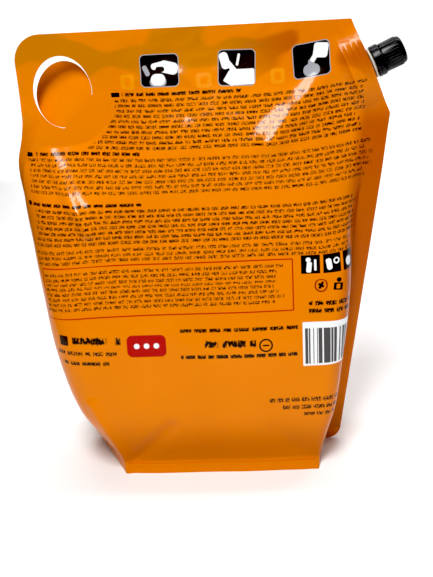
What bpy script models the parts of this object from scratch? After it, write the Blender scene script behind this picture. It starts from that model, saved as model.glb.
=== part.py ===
"""Stand-up refill pouch for hand soap, with a corner spout, a tamper band and a screw cap.

Four objects are made: the filled pouch with its finger hole and folded-back flap, the moulded
spout that is welded into the slanted corner, the tamper band and the cap. Units are metres,
+Z is up, the printed back panel faces -Y and the origin is the middle of the flat underside.
"""
import math

import bmesh
import bpy
from mathutils import Matrix, Vector

# ---------------------------------------------------------------- driving dimensions, metres
HEIGHT = 0.272            # floor to top edge
CORNER_RADIUS = 0.016     # rounded top left corner
SHOULDER = (0.110, 0.218)       # (x, z) where the side seal meets the slanted corner
SLANT_TOP = (0.0865, HEIGHT)    # (x, z) where the slanted corner meets the top edge
RIGHT_FOOT_X = 0.0803     # outer right edge, carried down to the floor
FOOT_RADIUS = 0.008       # rounded foot of the right side seal
FILM = 0.0008             # two films welded together
SIDE_SEAL = 0.0115
TOP_SEAL = 0.0145
SLANT_SEAL = 0.016
SEALED_PLANE_Y = 0.003    # the welded top part leans back by this much

HOLE_CENTRE = (-0.0835, 0.2385)  # (x, z) of the finger hole
HOLE_RADII = (0.0176, 0.0209)
HOLE_SEAL_RADIUS = 0.0320        # welded margin around the hole
HOLE_CUT_REACH = 0.004           # the punch runs this far before and behind the film
FLAP_GAP = 0.0004                # die-cut line between flap and hole
FLAP_FILM = 0.0006
FLAP_HINGE_ANGLE = math.radians(-4)   # upper end of the hinge chord, seen from the hole's centre
FLAP_TIP_DEPTH = 0.0160          # how far the flap's tip is pushed back
FLAP_TIP_DROP = 0.0042           # how far it sinks
FLAP_TIP_LEFT = 0.0010           # and how far it moves to the left
FLAP_BEND = 0.25                 # share of the flap over which it bends away from the hinge
FLAP_ROOT = 0.0015               # how far the flap runs into the margin

RIM_HEIGHT = 0.006        # skirt of the bottom seal
RIM_THICKNESS = 0.0011
RIM_DRAFT = 0.0006
BASE_ARCH = 0.0035        # how far the gusset film lifts behind the skirt
BASE_ARCH_INSET = 0.010   # where it is lifted, measured in from the skirt
BASE_FLAT_INSET = 0.019   # from here inwards the base stands on the floor

SPOUT_ALONG = 0.028       # from the top end of the slanted edge to the spout's axis
BOAT_HALF_LENGTH = 0.0180
BOAT_HALF_WIDTH = 0.0060
BOAT_DEPTH = 0.0125
BOAT_BLEND = 0.0060       # film runs flat this far beyond each tip of the boat
FILM_OVER_BOAT = 0.0010
BOAT_RIB = 0.0005
BOAT_RIBS = 4
BOAT_TIP = 0.0006         # half width of the boat's blunt tips
BOAT_RUN_OUT = 0.014      # the film closes again over this length behind the boat
BOAT_ZONE_BOTTOM = 0.198  # below this height the boat no longer lifts the film
CLEARANCE = 0.0003
# Heights below are measured along the spout's axis from the slanted edge of the film.
BORE_RADIUS = 0.0045
NECK_RADIUS = 0.0058
NECK_ROOT = -0.004
NECK_TOP = 0.0178
NECK_CHAMFER = 0.0005
COLLAR_RADIUS = 0.0088
COLLAR_SPAN = (0.0006, 0.0017)
BEAD_HEIGHT = 0.0007      # retaining bead under the tamper band
BEAD_SPAN = (0.0052, 0.0058, 0.0064, 0.0070)
BORE_SPAN = (-0.020, 0.025)
BAND_RADIUS = 0.0092
BAND_BOTTOM = 0.0022
BAND_EDGE = 0.0006
BAND_PLAY = 0.0011        # radial room between neck and band
CAP_RADIUS = 0.0084
CAP_BOTTOM = 0.0076
CAP_TOP = 0.0204
CAP_PLAY = 0.0008         # radial room between neck and cap, where the threads run
CAP_FILLET = 0.0022
CAP_CROWN = 0.0018        # thickness of the cap's end
CAP_RIBS = 30
CAP_RIB_HEIGHT = 0.0003
CAP_RIB_SPAN = (0.0083, 0.0176)
PLUG_PLAY = 0.0004
PLUG_WALL = 0.0008
PLUG_BOTTOM = 0.0150
POLE_GAP = 0.0006         # the turned end stops here; a small pin closes its middle

# How far from each seal the film takes to reach its full depth.
HOLE_SWELL = 0.040
TOP_SWELL = 0.060
SLANT_SWELL = 0.050

# Seams and body corners at heights above the floor: (z, x, y). y is 0 at the seams' plane.
LEFT_SEAM = [(0.000, -0.080, 0.000), (0.022, -0.092, 0.001), (0.048, -0.0995, 0.002),
             (0.080, -0.1055, 0.003), (0.110, -0.1095, 0.004), (0.140, -0.1130, 0.005),
             (0.175, -0.1150, 0.005), (0.195, -0.1125, 0.005), (0.212, -0.1030, 0.003),
             (0.225, -0.0985, 0.003), (HEIGHT, -0.0985, 0.003)]
LEFT_FOLD = [(0.000, 74), (0.170, 74), (0.195, 56), (0.212, 28), (0.228, 0), (HEIGHT, 0)]
RIGHT_SEAM_Y = [(0.000, 0.000), (0.180, 0.000), (0.212, 0.003), (HEIGHT, 0.003)]
LEFT_CORNER = [(0.000, -0.0610, 0.0378), (0.008, -0.0625, 0.0348), (0.020, -0.0700, 0.0358),
               (0.045, -0.0860, 0.0405), (0.080, -0.0970, 0.0398), (0.115, -0.1020, 0.0362),
               (0.150, -0.1050, 0.0295), (0.185, -0.1010, 0.0210), (0.215, -0.0820, 0.0140),
               (0.240, -0.0600, 0.0080), (HEIGHT, -0.0500, 0.0040)]
RIGHT_CORNER = [(0.000, 0.0635, 0.0378), (0.008, 0.0645, 0.0348), (0.020, 0.0680, 0.0358),
                (0.045, 0.0750, 0.0405), (0.080, 0.0800, 0.0400), (0.115, 0.0840, 0.0350),
                (0.150, 0.0845, 0.0275), (0.185, 0.0780, 0.0190), (0.215, 0.0680, 0.0125),
                (0.240, 0.0600, 0.0080), (HEIGHT, 0.0500, 0.0040)]
LEFT_ROUNDING = [(0.000, 0.0012), (0.008, 0.003), (0.030, 0.010), (0.070, 0.017), (0.115, 0.021),
                 (0.160, 0.028), (HEIGHT, 0.060)]
RIGHT_ROUNDING = [(0.000, 0.0012), (0.008, 0.003), (0.030, 0.009), (0.070, 0.014), (0.115, 0.016),
                  (0.150, 0.026), (0.185, 0.050), (HEIGHT, 0.060)]
CROWN = [(0.000, 0.0000), (0.008, 0.0004), (0.030, 0.0016), (0.090, 0.0030), (0.170, 0.0030),
         (HEIGHT, 0.0010)]

LEVELS = [0.0, 0.003, 0.008, 0.013, 0.020, 0.030, 0.042, 0.056, 0.072, 0.090, 0.108, 0.126,
          0.142, 0.156, 0.168, 0.179, 0.189, 0.198, 0.206, 0.213, 0.2195, 0.226, 0.232, 0.238,
          0.244, 0.250, 0.256, 0.2605, 0.2645, 0.268, 0.2705, HEIGHT]
SIDE_STEPS = 3
CORNER_STEPS = 5
FACE_STEPS = 12
ROUND_STEPS = 40


# ---------------------------------------------------------------- small helpers
def along(table, z):
    """Smoothly interpolate a table of (z, value, ...) rows; returns a value or a tuple."""
    z = min(max(z, table[0][0]), table[-1][0])
    row = max(i for i in range(len(table) - 1) if table[i][0] <= z)
    low, high = table[row], table[row + 1]
    before = table[max(row - 1, 0)]
    after = table[min(row + 2, len(table) - 1)]
    span = high[0] - low[0]
    t = (z - low[0]) / span
    values = []
    for k in range(1, len(low)):
        slope_in = (high[k] - before[k]) / (high[0] - before[0])
        slope_out = (after[k] - low[k]) / (after[0] - low[0])
        values.append((2 * t**3 - 3 * t**2 + 1) * low[k] + (t**3 - 2 * t**2 + t) * span * slope_in
                      + (3 * t**2 - 2 * t**3) * high[k] + (t**3 - t**2) * span * slope_out)
    return values[0] if len(values) == 1 else tuple(values)


def swell(distance, reach):
    """0 on a seal's inner edge, rising like inflated film to 1 at the given reach."""
    t = min(max(distance / reach, 0.0), 1.0)
    return math.sin(t * math.pi / 2) ** 0.85


def slant_frame():
    """Origin on the slanted edge at the spout, its direction downwards and outwards."""
    top = Vector((SLANT_TOP[0], SEALED_PLANE_Y, SLANT_TOP[1]))
    end = Vector((SHOULDER[0], SEALED_PLANE_Y, SHOULDER[1]))
    down = (end - top).normalized()
    out = Vector((-down.z, 0, down.x))
    return top + down * SPOUT_ALONG, down, out


SPOUT_ORIGIN, SLANT_DOWN, SPOUT_AXIS = slant_frame()


# ---------------------------------------------------------------- the pouch's sections
def right_edge(z):
    """Outer edge of the right side seal and of the slanted corner."""
    if z > SHOULDER[1]:
        t = (z - SHOULDER[1]) / (HEIGHT - SHOULDER[1])
        return SHOULDER[0] + (SLANT_TOP[0] - SHOULDER[0]) * t
    x = RIGHT_FOOT_X + (SHOULDER[0] - RIGHT_FOOT_X) * z / SHOULDER[1]
    if z < FOOT_RADIUS:
        x -= FOOT_RADIUS - math.sqrt(FOOT_RADIUS**2 - (FOOT_RADIUS - z)**2)
    return x


def left_corner_inset(z):
    """How far the rounded top left corner draws the left edge in."""
    lift = z - (HEIGHT - CORNER_RADIUS)
    if lift <= 0:
        return 0.0
    return CORNER_RADIUS - math.sqrt(max(CORNER_RADIUS**2 - lift**2, 0.0))


def seams(z):
    """Inner edge and outer tip of both side seals at a height, as flat (x, y) vectors."""
    left = Vector(along(LEFT_SEAM, z))
    fold = math.radians(along(LEFT_FOLD, z))
    left_tip = left + Vector((-math.cos(fold), math.sin(fold))) * SIDE_SEAL
    inset = left_corner_inset(z)
    left.x += inset
    left_tip.x += inset
    edge = right_edge(z)
    right_tip = Vector((edge, along(RIGHT_SEAM_Y, z)))
    right = Vector((edge - SIDE_SEAL, right_tip.y))
    if z < FOOT_RADIUS:
        right.x = right_edge(FOOT_RADIUS) - SIDE_SEAL
    return left, left_tip, right, right_tip


def pocket(x, z):
    """How much of the full depth the film has here: 0 on every seal at the top."""
    hole_x = max(x - HOLE_CENTRE[0], 0.0)
    hole_z = max(HOLE_CENTRE[1] - z, 0.0)
    from_hole = math.hypot(hole_x, hole_z) - HOLE_SEAL_RADIUS
    from_top = HEIGHT - TOP_SEAL - z
    offset = Vector((x, SEALED_PLANE_Y, z)) - SPOUT_ORIGIN
    from_slant = -offset.dot(SPOUT_AXIS) - SLANT_SEAL
    return (swell(from_hole, HOLE_SWELL) * swell(from_top, TOP_SWELL)
            * swell(from_slant, SLANT_SWELL))


def over_boat(x, z):
    """How far one film stands off the seam's plane where it wraps the spout's boat."""
    offset = Vector((x, SEALED_PLANE_Y, z)) - SPOUT_ORIGIN
    t = min(abs(offset.dot(SLANT_DOWN)) / (BOAT_HALF_LENGTH + BOAT_BLEND), 1.0)
    width = (BOAT_HALF_WIDTH + CLEARANCE + FILM_OVER_BOAT) * (1 - t**2)**1.5
    inward = -offset.dot(SPOUT_AXIS) - BOAT_DEPTH
    return width * (1 - swell(inward, BOAT_RUN_OUT))


def rounded_corner(start, corner, end, reach, steps):
    """Points of a curve that leaves start-corner and joins corner-end within reach of both."""
    first = corner + (start - corner).normalized() * min(reach, (start - corner).length * 0.9)
    last = corner + (end - corner).normalized() * min(reach, (end - corner).length * 0.9)
    points = []
    for i in range(steps + 1):
        t = i / steps
        points.append(first * (1 - t)**2 + corner * 2 * t * (1 - t) + last * t**2)
    return points


def section(z, facing):
    """One film's outline at a height, from left seam to right seam; facing is -1 for the back."""
    left, _, right, _ = seams(z)
    x, depth = along(LEFT_CORNER, z)
    left_corner = Vector((x, left.y + facing * depth))
    x, depth = along(RIGHT_CORNER, z)
    right_corner = Vector((x, right.y + facing * depth))
    middle = (left_corner + right_corner) / 2
    turn_left = rounded_corner(left, left_corner, middle, along(LEFT_ROUNDING, z), CORNER_STEPS)
    turn_right = rounded_corner(middle, right_corner, right, along(RIGHT_ROUNDING, z), CORNER_STEPS)
    points = [left.lerp(turn_left[0], i / SIDE_STEPS) for i in range(SIDE_STEPS)]
    points += turn_left[:-1]
    points += [turn_left[-1].lerp(turn_right[0], i / FACE_STEPS) for i in range(FACE_STEPS)]
    points += turn_right
    points += [turn_right[-1].lerp(right, i / SIDE_STEPS) for i in range(1, SIDE_STEPS + 1)]
    crown = along(CROWN, z)
    placed = []
    for point in points:
        share = min(max((point.x - left.x) / (right.x - left.x), 0.0), 1.0)
        seam_y = left.y + (right.y - left.y) * share
        bulge = (point.y - seam_y) + facing * crown * math.sin(math.pi * share)
        bulge *= pocket(point.x, z)
        if z > BOAT_ZONE_BOTTOM:
            bulge = facing * max(abs(bulge), over_boat(point.x, z))
        placed.append(Vector((point.x, seam_y + bulge)))
    return placed


def ring(z):
    """The pouch's whole outline at a height: back film, right seal, front film, left seal."""
    left, left_tip, right, right_tip = seams(z)
    left_run = (left_tip - left).normalized()
    right_run = (right_tip - right).normalized()
    left_out = Vector((-left_run.y, left_run.x)) * FILM / 2
    right_out = Vector((right_run.y, -right_run.x)) * FILM / 2
    half = Vector((0, FILM / 2))
    back = [p - half for p in section(z, -1)]
    front = [p + half for p in section(z, 1)]
    back[0], front[0] = left + left_out, left - left_out
    tip_lift = over_boat(right_tip.x, z) if z > BOAT_ZONE_BOTTOM else 0.0
    lift = Vector((0, tip_lift))
    outline = [left_tip + left_out] + back + [right_tip + right_out - lift]
    outline += [right_tip - right_out + lift] + front[::-1] + [left_tip - left_out]
    return [Vector((p.x, p.y, z)) for p in outline]


def inset_ring(outline, inset, height):
    """The base outline drawn in evenly from all sides and set at a height."""
    low_x = min(point.x for point in outline)
    high_x = max(point.x for point in outline)
    middle_x, reach_x = (low_x + high_x) / 2, (high_x - low_x) / 2
    reach_y = max(abs(point.y) for point in outline)
    points = []
    for point in outline:
        x = middle_x + (point.x - middle_x) * (1 - inset / reach_x)
        points.append(Vector((x, point.y * (1 - inset / reach_y), height)))
    return points


# ---------------------------------------------------------------- mesh and object builders
def make_object(name, mesh_data, material=None):
    mesh = bpy.data.meshes.new(name)
    mesh_data.to_mesh(mesh)
    mesh_data.free()
    obj = bpy.data.objects.new(name, mesh)
    bpy.context.scene.collection.objects.link(obj)
    if material:
        mesh.materials.append(material)
    return obj


def make_material(name, colour, roughness):
    material = bpy.data.materials.new(name)
    material.use_nodes = True
    shader = material.node_tree.nodes["Principled BSDF"]
    shader.inputs["Base Color"].default_value = (*colour, 1)
    shader.inputs["Roughness"].default_value = roughness
    shader.inputs["Metallic"].default_value = 0
    material.diffuse_color = (*colour, 1)
    return material


def bridge(data, low, high):
    for i in range(len(low)):
        j = (i + 1) % len(low)
        data.faces.new((low[i], low[j], high[j], high[i]))


def loft(rings, close_start=True, close_end=True):
    """Bridge equal rings of points into one closed tube, each end filled by one face."""
    data = bmesh.new()
    loops = [[data.verts.new(point) for point in points] for points in rings]
    for low, high in zip(loops, loops[1:]):
        bridge(data, low, high)
    if close_start:
        data.faces.new(loops[0][::-1])
    if close_end:
        data.faces.new(loops[-1])
    bmesh.ops.recalc_face_normals(data, faces=data.faces)
    return data


def turned(profile, ribs=0, rib_depth=0.0, rib_span=(0.0, 0.0)):
    """Turn a closed (radius, height) profile; ribs swell the outer wall inside rib_span."""
    data = bmesh.new()
    steps = ribs * 4 if ribs else ROUND_STEPS
    loops = []
    for i in range(steps):
        angle = 2 * math.pi * i / steps
        raised = i % 4 in (1, 2)
        points = []
        for radius, height in profile:
            ribbed = ribs and raised and radius > CAP_RADIUS - 0.0004
            ribbed = ribbed and rib_span[0] < height < rib_span[1]
            reach = radius + (rib_depth if ribbed else 0.0)
            points.append((reach * math.cos(angle), reach * math.sin(angle), height))
        loops.append([data.verts.new(point) for point in points])
    loops.append(loops[0])
    for low, high in zip(loops, loops[1:]):
        bridge(data, low, high)
    bmesh.ops.recalc_face_normals(data, faces=data.faces)
    return data


def solid_turned(profile):
    """Turn an open profile that starts and ends on the axis into a closed solid."""
    data = bmesh.new()
    verts = [data.verts.new((radius, 0, height)) for radius, height in profile]
    edges = [data.edges.new(pair) for pair in zip(verts, verts[1:])]
    bmesh.ops.spin(data, geom=verts + edges, cent=(0, 0, 0), axis=(0, 0, 1),
                   angle=2 * math.pi, steps=ROUND_STEPS, use_duplicate=False)
    bmesh.ops.remove_doubles(data, verts=data.verts, dist=0.000001)
    bmesh.ops.recalc_face_normals(data, faces=data.faces)
    return data


def boolean(target, cutter, operation):
    """Add an exact Boolean and keep its operand as a hidden guide."""
    modifier = target.modifiers.new(f"{operation.title()} {cutter.name}", "BOOLEAN")
    modifier.operation = operation
    modifier.solver = "EXACT"
    modifier.object = cutter
    cutter.hide_render = True
    cutter.display_type = "WIRE"


def place_on_spout_axis(obj):
    """Put an object's origin where the spout's axis leaves the film, its Z along the axis."""
    across = SPOUT_AXIS.cross(SLANT_DOWN)
    turn = Matrix((SLANT_DOWN, across, SPOUT_AXIS)).transposed()
    obj.matrix_world = Matrix.Translation(SPOUT_ORIGIN) @ turn.to_4x4()


# ---------------------------------------------------------------- the pouch
def pouch_body(material):
    """Films and contents as one solid, still without its finger hole and spout pocket."""
    data = bmesh.new()
    loops = [[data.verts.new(point) for point in ring(z)] for z in LEVELS]
    for low, high in zip(loops, loops[1:]):
        bridge(data, low, high)
    data.faces.new(loops[-1])
    foot = loops[0]
    half = len(foot) // 2
    core = foot[1:half - 1] + foot[half + 1:-1]
    data.faces.new((foot[0], foot[1], foot[-2], foot[-1]))
    data.faces.new((foot[half - 2], foot[half - 1], foot[half], foot[half + 1]))
    outline = [vert.co.copy() for vert in core]
    for inset, height in ((RIM_THICKNESS, 0.0), (RIM_THICKNESS + RIM_DRAFT, RIM_HEIGHT),
                          (BASE_ARCH_INSET, BASE_ARCH), (BASE_FLAT_INSET, 0.0)):
        inner = [data.verts.new(point) for point in inset_ring(outline, inset, height)]
        bridge(data, core, inner)
        core = inner
    data.faces.new(core)
    bmesh.ops.recalc_face_normals(data, faces=data.faces)
    return make_object("pouch", data, material)


def hole_frame():
    """Middle of the flap's hinge line, its direction and the way the flap points."""
    right, low = (Vector((HOLE_CENTRE[0] + HOLE_RADII[0] * math.cos(angle), 0,
                          HOLE_CENTRE[1] + HOLE_RADII[1] * math.sin(angle)))
                  for angle in (FLAP_HINGE_ANGLE, FLAP_HINGE_ANGLE - math.pi / 2))
    hinge = (right - low).normalized()
    away = Vector((-hinge.z, 0, hinge.x))
    return (right + low) / 2, hinge, away


def hole_cutter():
    """Prism over the die-cut outline: three quarters of an oval, closed by the hinge line."""
    outline = []
    for i in range(ROUND_STEPS + 1):
        angle = FLAP_HINGE_ANGLE + 1.5 * math.pi * i / ROUND_STEPS
        outline.append((HOLE_CENTRE[0] + HOLE_RADII[0] * math.cos(angle),
                        HOLE_CENTRE[1] + HOLE_RADII[1] * math.sin(angle)))
    rings = [[(x, SEALED_PLANE_Y + y, z) for x, z in outline] for y in (-HOLE_CUT_REACH, HOLE_CUT_REACH)]
    return make_object("finger_hole_guide", loft(rings))


def flap_half_chord(middle, hinge, away, reach):
    """Ends along the hinge direction of the oval's chord at a distance from the hinge line."""
    a, b = (radius - FLAP_GAP for radius in HOLE_RADII)
    base = middle + away * reach - Vector((HOLE_CENTRE[0], 0, HOLE_CENTRE[1]))
    u = Vector((base.x / a, base.z / b))
    v = Vector((hinge.x / a, hinge.z / b))
    linear, square = u.dot(v), v.dot(v)
    root = math.sqrt(max(linear**2 - square * (u.dot(u) - 1), 0.0))
    return (-linear - root) / square, (-linear + root) / square


def flap_solid():
    """The punched disc of film, still joined along its hinge line and curled back."""
    middle, hinge, away = hole_frame()
    a, b = (radius - FLAP_GAP for radius in HOLE_RADII)
    centre = Vector((HOLE_CENTRE[0], 0, HOLE_CENTRE[1]))
    length = (centre - middle).dot(away) + math.hypot(a * away.x, b * away.z)
    rows, columns = 16, 10
    rings = []
    for row in range(rows + 1):
        reach = -FLAP_ROOT + (length * 0.997 + FLAP_ROOT) * (1 - math.cos(math.pi * row / rows)) / 2
        start, end = flap_half_chord(middle, hinge, away, max(reach, 0.0))
        if reach < 0:
            start, end = start + FLAP_ROOT, end - FLAP_ROOT
        share_out = max(reach, 0.0) / length
        settle = (1 + FLAP_BEND) * share_out**2 / (share_out + FLAP_BEND)
        angle = math.atan(FLAP_TIP_DEPTH / length * min(share_out / FLAP_BEND, 1.0))
        normal = -Vector((0, math.cos(angle), 0)) + away * math.sin(angle)
        line = []
        for column in range(columns + 1):
            share = start + (end - start) * column / columns
            point = middle + away * reach + hinge * share
            point.y = SEALED_PLANE_Y + FLAP_TIP_DEPTH * settle
            point.z -= FLAP_TIP_DROP * settle
            point.x -= FLAP_TIP_LEFT * settle
            line.append(point)
        faces = [p + normal * FLAP_FILM / 2 for p in line]
        faces += [p - normal * FLAP_FILM / 2 for p in line[::-1]]
        rings.append(faces)
    return make_object("flap_guide", loft(rings))


def boat_outline(half_length, half_width, height, steps=20):
    """Pointed oval with blunt tips, as points around it at a height on the spout's axis."""
    points = []
    for side in (1, -1):
        for i in range(steps + 1):
            t = -1 + 2 * i / steps
            y = max(half_width * (1 - t**2), BOAT_TIP)
            points.append((side * t * half_length, side * y, height))
    return points


def pocket_cutter():
    """Room between the films for the spout's boat, open at the slanted edge."""
    length = BOAT_HALF_LENGTH + CLEARANCE
    width = BOAT_HALF_WIDTH + CLEARANCE
    rings = [boat_outline(length, width, z) for z in (-BOAT_DEPTH - CLEARANCE, 0.002)]
    cutter = make_object("spout_pocket_guide", loft(rings))
    place_on_spout_axis(cutter)
    return cutter


def build_pouch():
    orange = make_material("printed_film", (0.73, 0.24, 0.004), 0.34)
    body = pouch_body(orange)
    boolean(body, hole_cutter(), "DIFFERENCE")
    boolean(body, flap_solid(), "UNION")
    boolean(body, pocket_cutter(), "DIFFERENCE")
    body.data.shade_smooth()
    body.data.set_sharp_from_angle(angle=math.radians(40))


# ---------------------------------------------------------------- spout, band and cap
def build_spout():
    """Welding boat with ribs, collar and neck in one moulding, bored right through."""
    material = make_material("spout_plastic", (0.80, 0.77, 0.68), 0.45)
    pitch = BOAT_DEPTH / BOAT_RIBS
    levels = []
    for i in range(BOAT_RIBS):
        low = -BOAT_DEPTH + pitch * i
        levels += [(low, 0.0), (low + pitch * 0.65, 0.0)]
        if i < BOAT_RIBS - 1:
            levels += [(low + pitch * 0.71, BOAT_RIB), (low + pitch * 0.94, BOAT_RIB)]
    levels[-1] = (-0.0002, 0.0)
    rings = [boat_outline(BOAT_HALF_LENGTH - cut, BOAT_HALF_WIDTH - cut, z) for z, cut in levels]
    spout = make_object("spout", loft(rings), material)
    root = NECK_RADIUS - 0.0004
    neck = solid_turned([(0, NECK_ROOT), (root, NECK_ROOT), (root, COLLAR_SPAN[0] / 2),
                         (COLLAR_RADIUS, COLLAR_SPAN[0]), (COLLAR_RADIUS, COLLAR_SPAN[1]),
                         (NECK_RADIUS, COLLAR_SPAN[1] + 0.0002), (NECK_RADIUS, BEAD_SPAN[0]),
                         (NECK_RADIUS + BEAD_HEIGHT, BEAD_SPAN[1]),
                         (NECK_RADIUS + BEAD_HEIGHT, BEAD_SPAN[2]), (NECK_RADIUS, BEAD_SPAN[3]),
                         (NECK_RADIUS, NECK_TOP - NECK_CHAMFER),
                         (NECK_RADIUS - NECK_CHAMFER, NECK_TOP), (0, NECK_TOP)])
    neck_guide = make_object("neck_guide", neck)
    low, high = BORE_SPAN
    bore = solid_turned([(0, low), (BORE_RADIUS, low), (BORE_RADIUS, high), (0, high)])
    bore_guide = make_object("bore_guide", bore)
    for obj in (spout, neck_guide, bore_guide):
        place_on_spout_axis(obj)
    boolean(spout, neck_guide, "UNION")
    boolean(spout, bore_guide, "DIFFERENCE")


def build_band():
    """Ring that stays behind on the neck when the cap is first unscrewed."""
    material = make_material("band_plastic", (0.010, 0.010, 0.012), 0.30)
    inner = NECK_RADIUS + BAND_PLAY
    top = CAP_BOTTOM - PLUG_PLAY
    profile = [(inner, BAND_BOTTOM), (BAND_RADIUS - BAND_EDGE, BAND_BOTTOM),
               (BAND_RADIUS, BAND_BOTTOM + BAND_EDGE), (BAND_RADIUS, top - BAND_EDGE),
               (BAND_RADIUS - BAND_EDGE, top), (inner, top)]
    place_on_spout_axis(make_object("tamper_band", turned(profile), material))


def build_cap():
    """Closed cap with grip ribs outside and a sealing plug inside."""
    material = make_material("cap_plastic", (0.009, 0.009, 0.011), 0.26)
    inner = NECK_RADIUS + CAP_PLAY
    plug = BORE_RADIUS - PLUG_PLAY
    ceiling = CAP_TOP - CAP_CROWN
    rib_low, rib_high = CAP_RIB_SPAN
    profile = [(inner, CAP_BOTTOM), (CAP_RADIUS - 0.0003, CAP_BOTTOM), (CAP_RADIUS, rib_low - 0.0001),
               (CAP_RADIUS, rib_low + 0.0005), (CAP_RADIUS - 0.0001, rib_high - 0.0004),
               (CAP_RADIUS - 0.0003, rib_high + 0.0004)]
    for i in range(5):
        angle = math.pi / 2 * i / 4
        profile.append((CAP_RADIUS - 0.0005 - CAP_FILLET * (1 - math.cos(angle)),
                        CAP_TOP - CAP_FILLET * (1 - math.sin(angle))))
    profile += [(POLE_GAP, CAP_TOP), (POLE_GAP, ceiling), (plug - PLUG_WALL, ceiling),
                (plug - PLUG_WALL, PLUG_BOTTOM), (plug, PLUG_BOTTOM + PLUG_PLAY),
                (plug, NECK_TOP + PLUG_PLAY), (inner, NECK_TOP + PLUG_PLAY)]
    shell = turned(profile, CAP_RIBS, CAP_RIB_HEIGHT, CAP_RIB_SPAN)
    cap = make_object("cap", shell, material)
    pin = solid_turned([(0, ceiling), (POLE_GAP + 0.0004, ceiling), (POLE_GAP + 0.0004, CAP_TOP),
                        (0, CAP_TOP)])
    pin_guide = make_object("cap_middle_guide", pin)
    for obj in (cap, pin_guide):
        place_on_spout_axis(obj)
    boolean(cap, pin_guide, "UNION")


def main():
    for old in list(bpy.data.objects):
        bpy.data.objects.remove(old, do_unlink=True)
    build_pouch()
    build_spout()
    build_band()
    build_cap()


main()
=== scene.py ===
"""Looks of the hand soap refill pack: film, print, spout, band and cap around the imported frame."""
import math

import bmesh
import bpy
from mathutils import Matrix, Vector, noise


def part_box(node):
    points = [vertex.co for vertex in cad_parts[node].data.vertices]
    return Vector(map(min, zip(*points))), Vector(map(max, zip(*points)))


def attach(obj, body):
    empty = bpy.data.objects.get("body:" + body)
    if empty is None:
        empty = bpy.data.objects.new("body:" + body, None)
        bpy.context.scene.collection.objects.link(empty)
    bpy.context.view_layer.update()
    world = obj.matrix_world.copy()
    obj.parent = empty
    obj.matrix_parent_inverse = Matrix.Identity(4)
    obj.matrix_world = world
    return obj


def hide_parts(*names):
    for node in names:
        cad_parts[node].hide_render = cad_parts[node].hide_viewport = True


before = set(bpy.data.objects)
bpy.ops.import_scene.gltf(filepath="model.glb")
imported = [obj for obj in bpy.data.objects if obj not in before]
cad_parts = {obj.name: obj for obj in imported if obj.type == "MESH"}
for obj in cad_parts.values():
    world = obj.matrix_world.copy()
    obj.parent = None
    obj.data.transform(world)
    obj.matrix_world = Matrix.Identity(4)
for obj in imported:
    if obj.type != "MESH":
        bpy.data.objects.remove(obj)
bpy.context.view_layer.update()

# ---------------------------------------------------------------- sizes of the pouch, metres
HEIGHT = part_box("pouch")[1][2]
CORNER_RADIUS = 0.016
SHOULDER = (0.110, 0.218)
SLANT_TOP = (0.0865, HEIGHT)
RIGHT_FOOT_X = 0.0803
FOOT_RADIUS = 0.008
FILM = 0.0006
SIDE_SEAL = 0.0115
TOP_SEAL = 0.0145
SLANT_SEAL = 0.016
SEALED_PLANE_Y = 0.003
HOLE_CENTRE = (-0.0835, 0.2385)
HOLE_RADII = (0.0176, 0.0209)
HOLE_SEAL_RADIUS = 0.0320
HOLE_CUT_REACH = 0.004           # the die cut reaches this far past the film, back and front
HOLE_SWELL = 0.040               # how far from each seal the film takes to swell out
TOP_SWELL = 0.060
SLANT_SWELL = 0.050
CREASE_INSET = 0.0205            # ridge beside the slanted seal: place, width, height, half length
CREASE_WIDTH = 0.0028
CREASE_HEIGHT = 0.0017
CREASE_REACH = 0.026
FLAP_GAP = 0.0003
FLAP_HINGE_ANGLE = math.radians(-4)   # upper end of the hinge chord, seen from the hole's centre
FLAP_TIP_DEPTH = 0.0160          # how far the flap's tip is pushed back
FLAP_TIP_DROP = 0.0042           # how far it sinks
FLAP_TIP_LEFT = 0.0022           # and how far it moves to the left
FLAP_BEND = 0.25                 # share of the flap over which it bends away from the hinge
FLAP_ROOT = 0.0015
RIM_HEIGHT = 0.006
RIM_THICKNESS = 0.0011
SPOUT_ALONG = 0.028
BOAT_HALF_LENGTH = 0.0180
BOAT_HALF_WIDTH = 0.0060
BOAT_DEPTH = 0.0125
BOAT_BLEND = 0.0060
BOAT_RUN_OUT = 0.014
FILM_OVER_BOAT = 0.0010
BOAT_ZONE_BOTTOM = SHOULDER[1] - 0.02
CLEARANCE = 0.0003
BORE_RADIUS = 0.0045
NECK_RADIUS = 0.0058
NECK_TOP = 0.0178
BAND_RADIUS = 0.0092
CAP_RADIUS = 0.0084
CAP_BOTTOM = 0.0076
CAP_TOP = 0.0204
# Smaller sizes of the mouldings; heights are along the spout's axis from the slanted edge.
NECK_ROOT = -0.0122
BORE_WALL = 0.0006
COLLAR_RADIUS = 0.0083
COLLAR_MIDDLE = 0.00115
BEAD_MIDDLE = 0.0061
BEAD_ROUNDING = 0.00035
THREAD_TURNS = 1.9
THREAD_START = 0.0092
THREAD_RISE = 0.0057
THREAD_BEAD = 0.00042
BAND_BOTTOM = 0.0022
BAND_TOP = 0.0072
BAND_CLEARANCE = 0.0011
BRIDGES = 10
BRIDGE_CIRCLE = 0.0080
BRIDGE_THICKNESS = 0.00032
BRIDGE_LENGTH = 0.0004
CAP_CLEARANCE = 0.0008
CAP_ROUNDING = 0.0022
PLUG_CLEARANCE = 0.0004
PLUG_TIP = 0.0150
PLUG_WALL = 0.0008
GRIP_BARS = 30
GRIP_THICKNESS = 0.00024
GRIP_LENGTH = 0.0090
GRIP_MIDDLE = 0.0130

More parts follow.
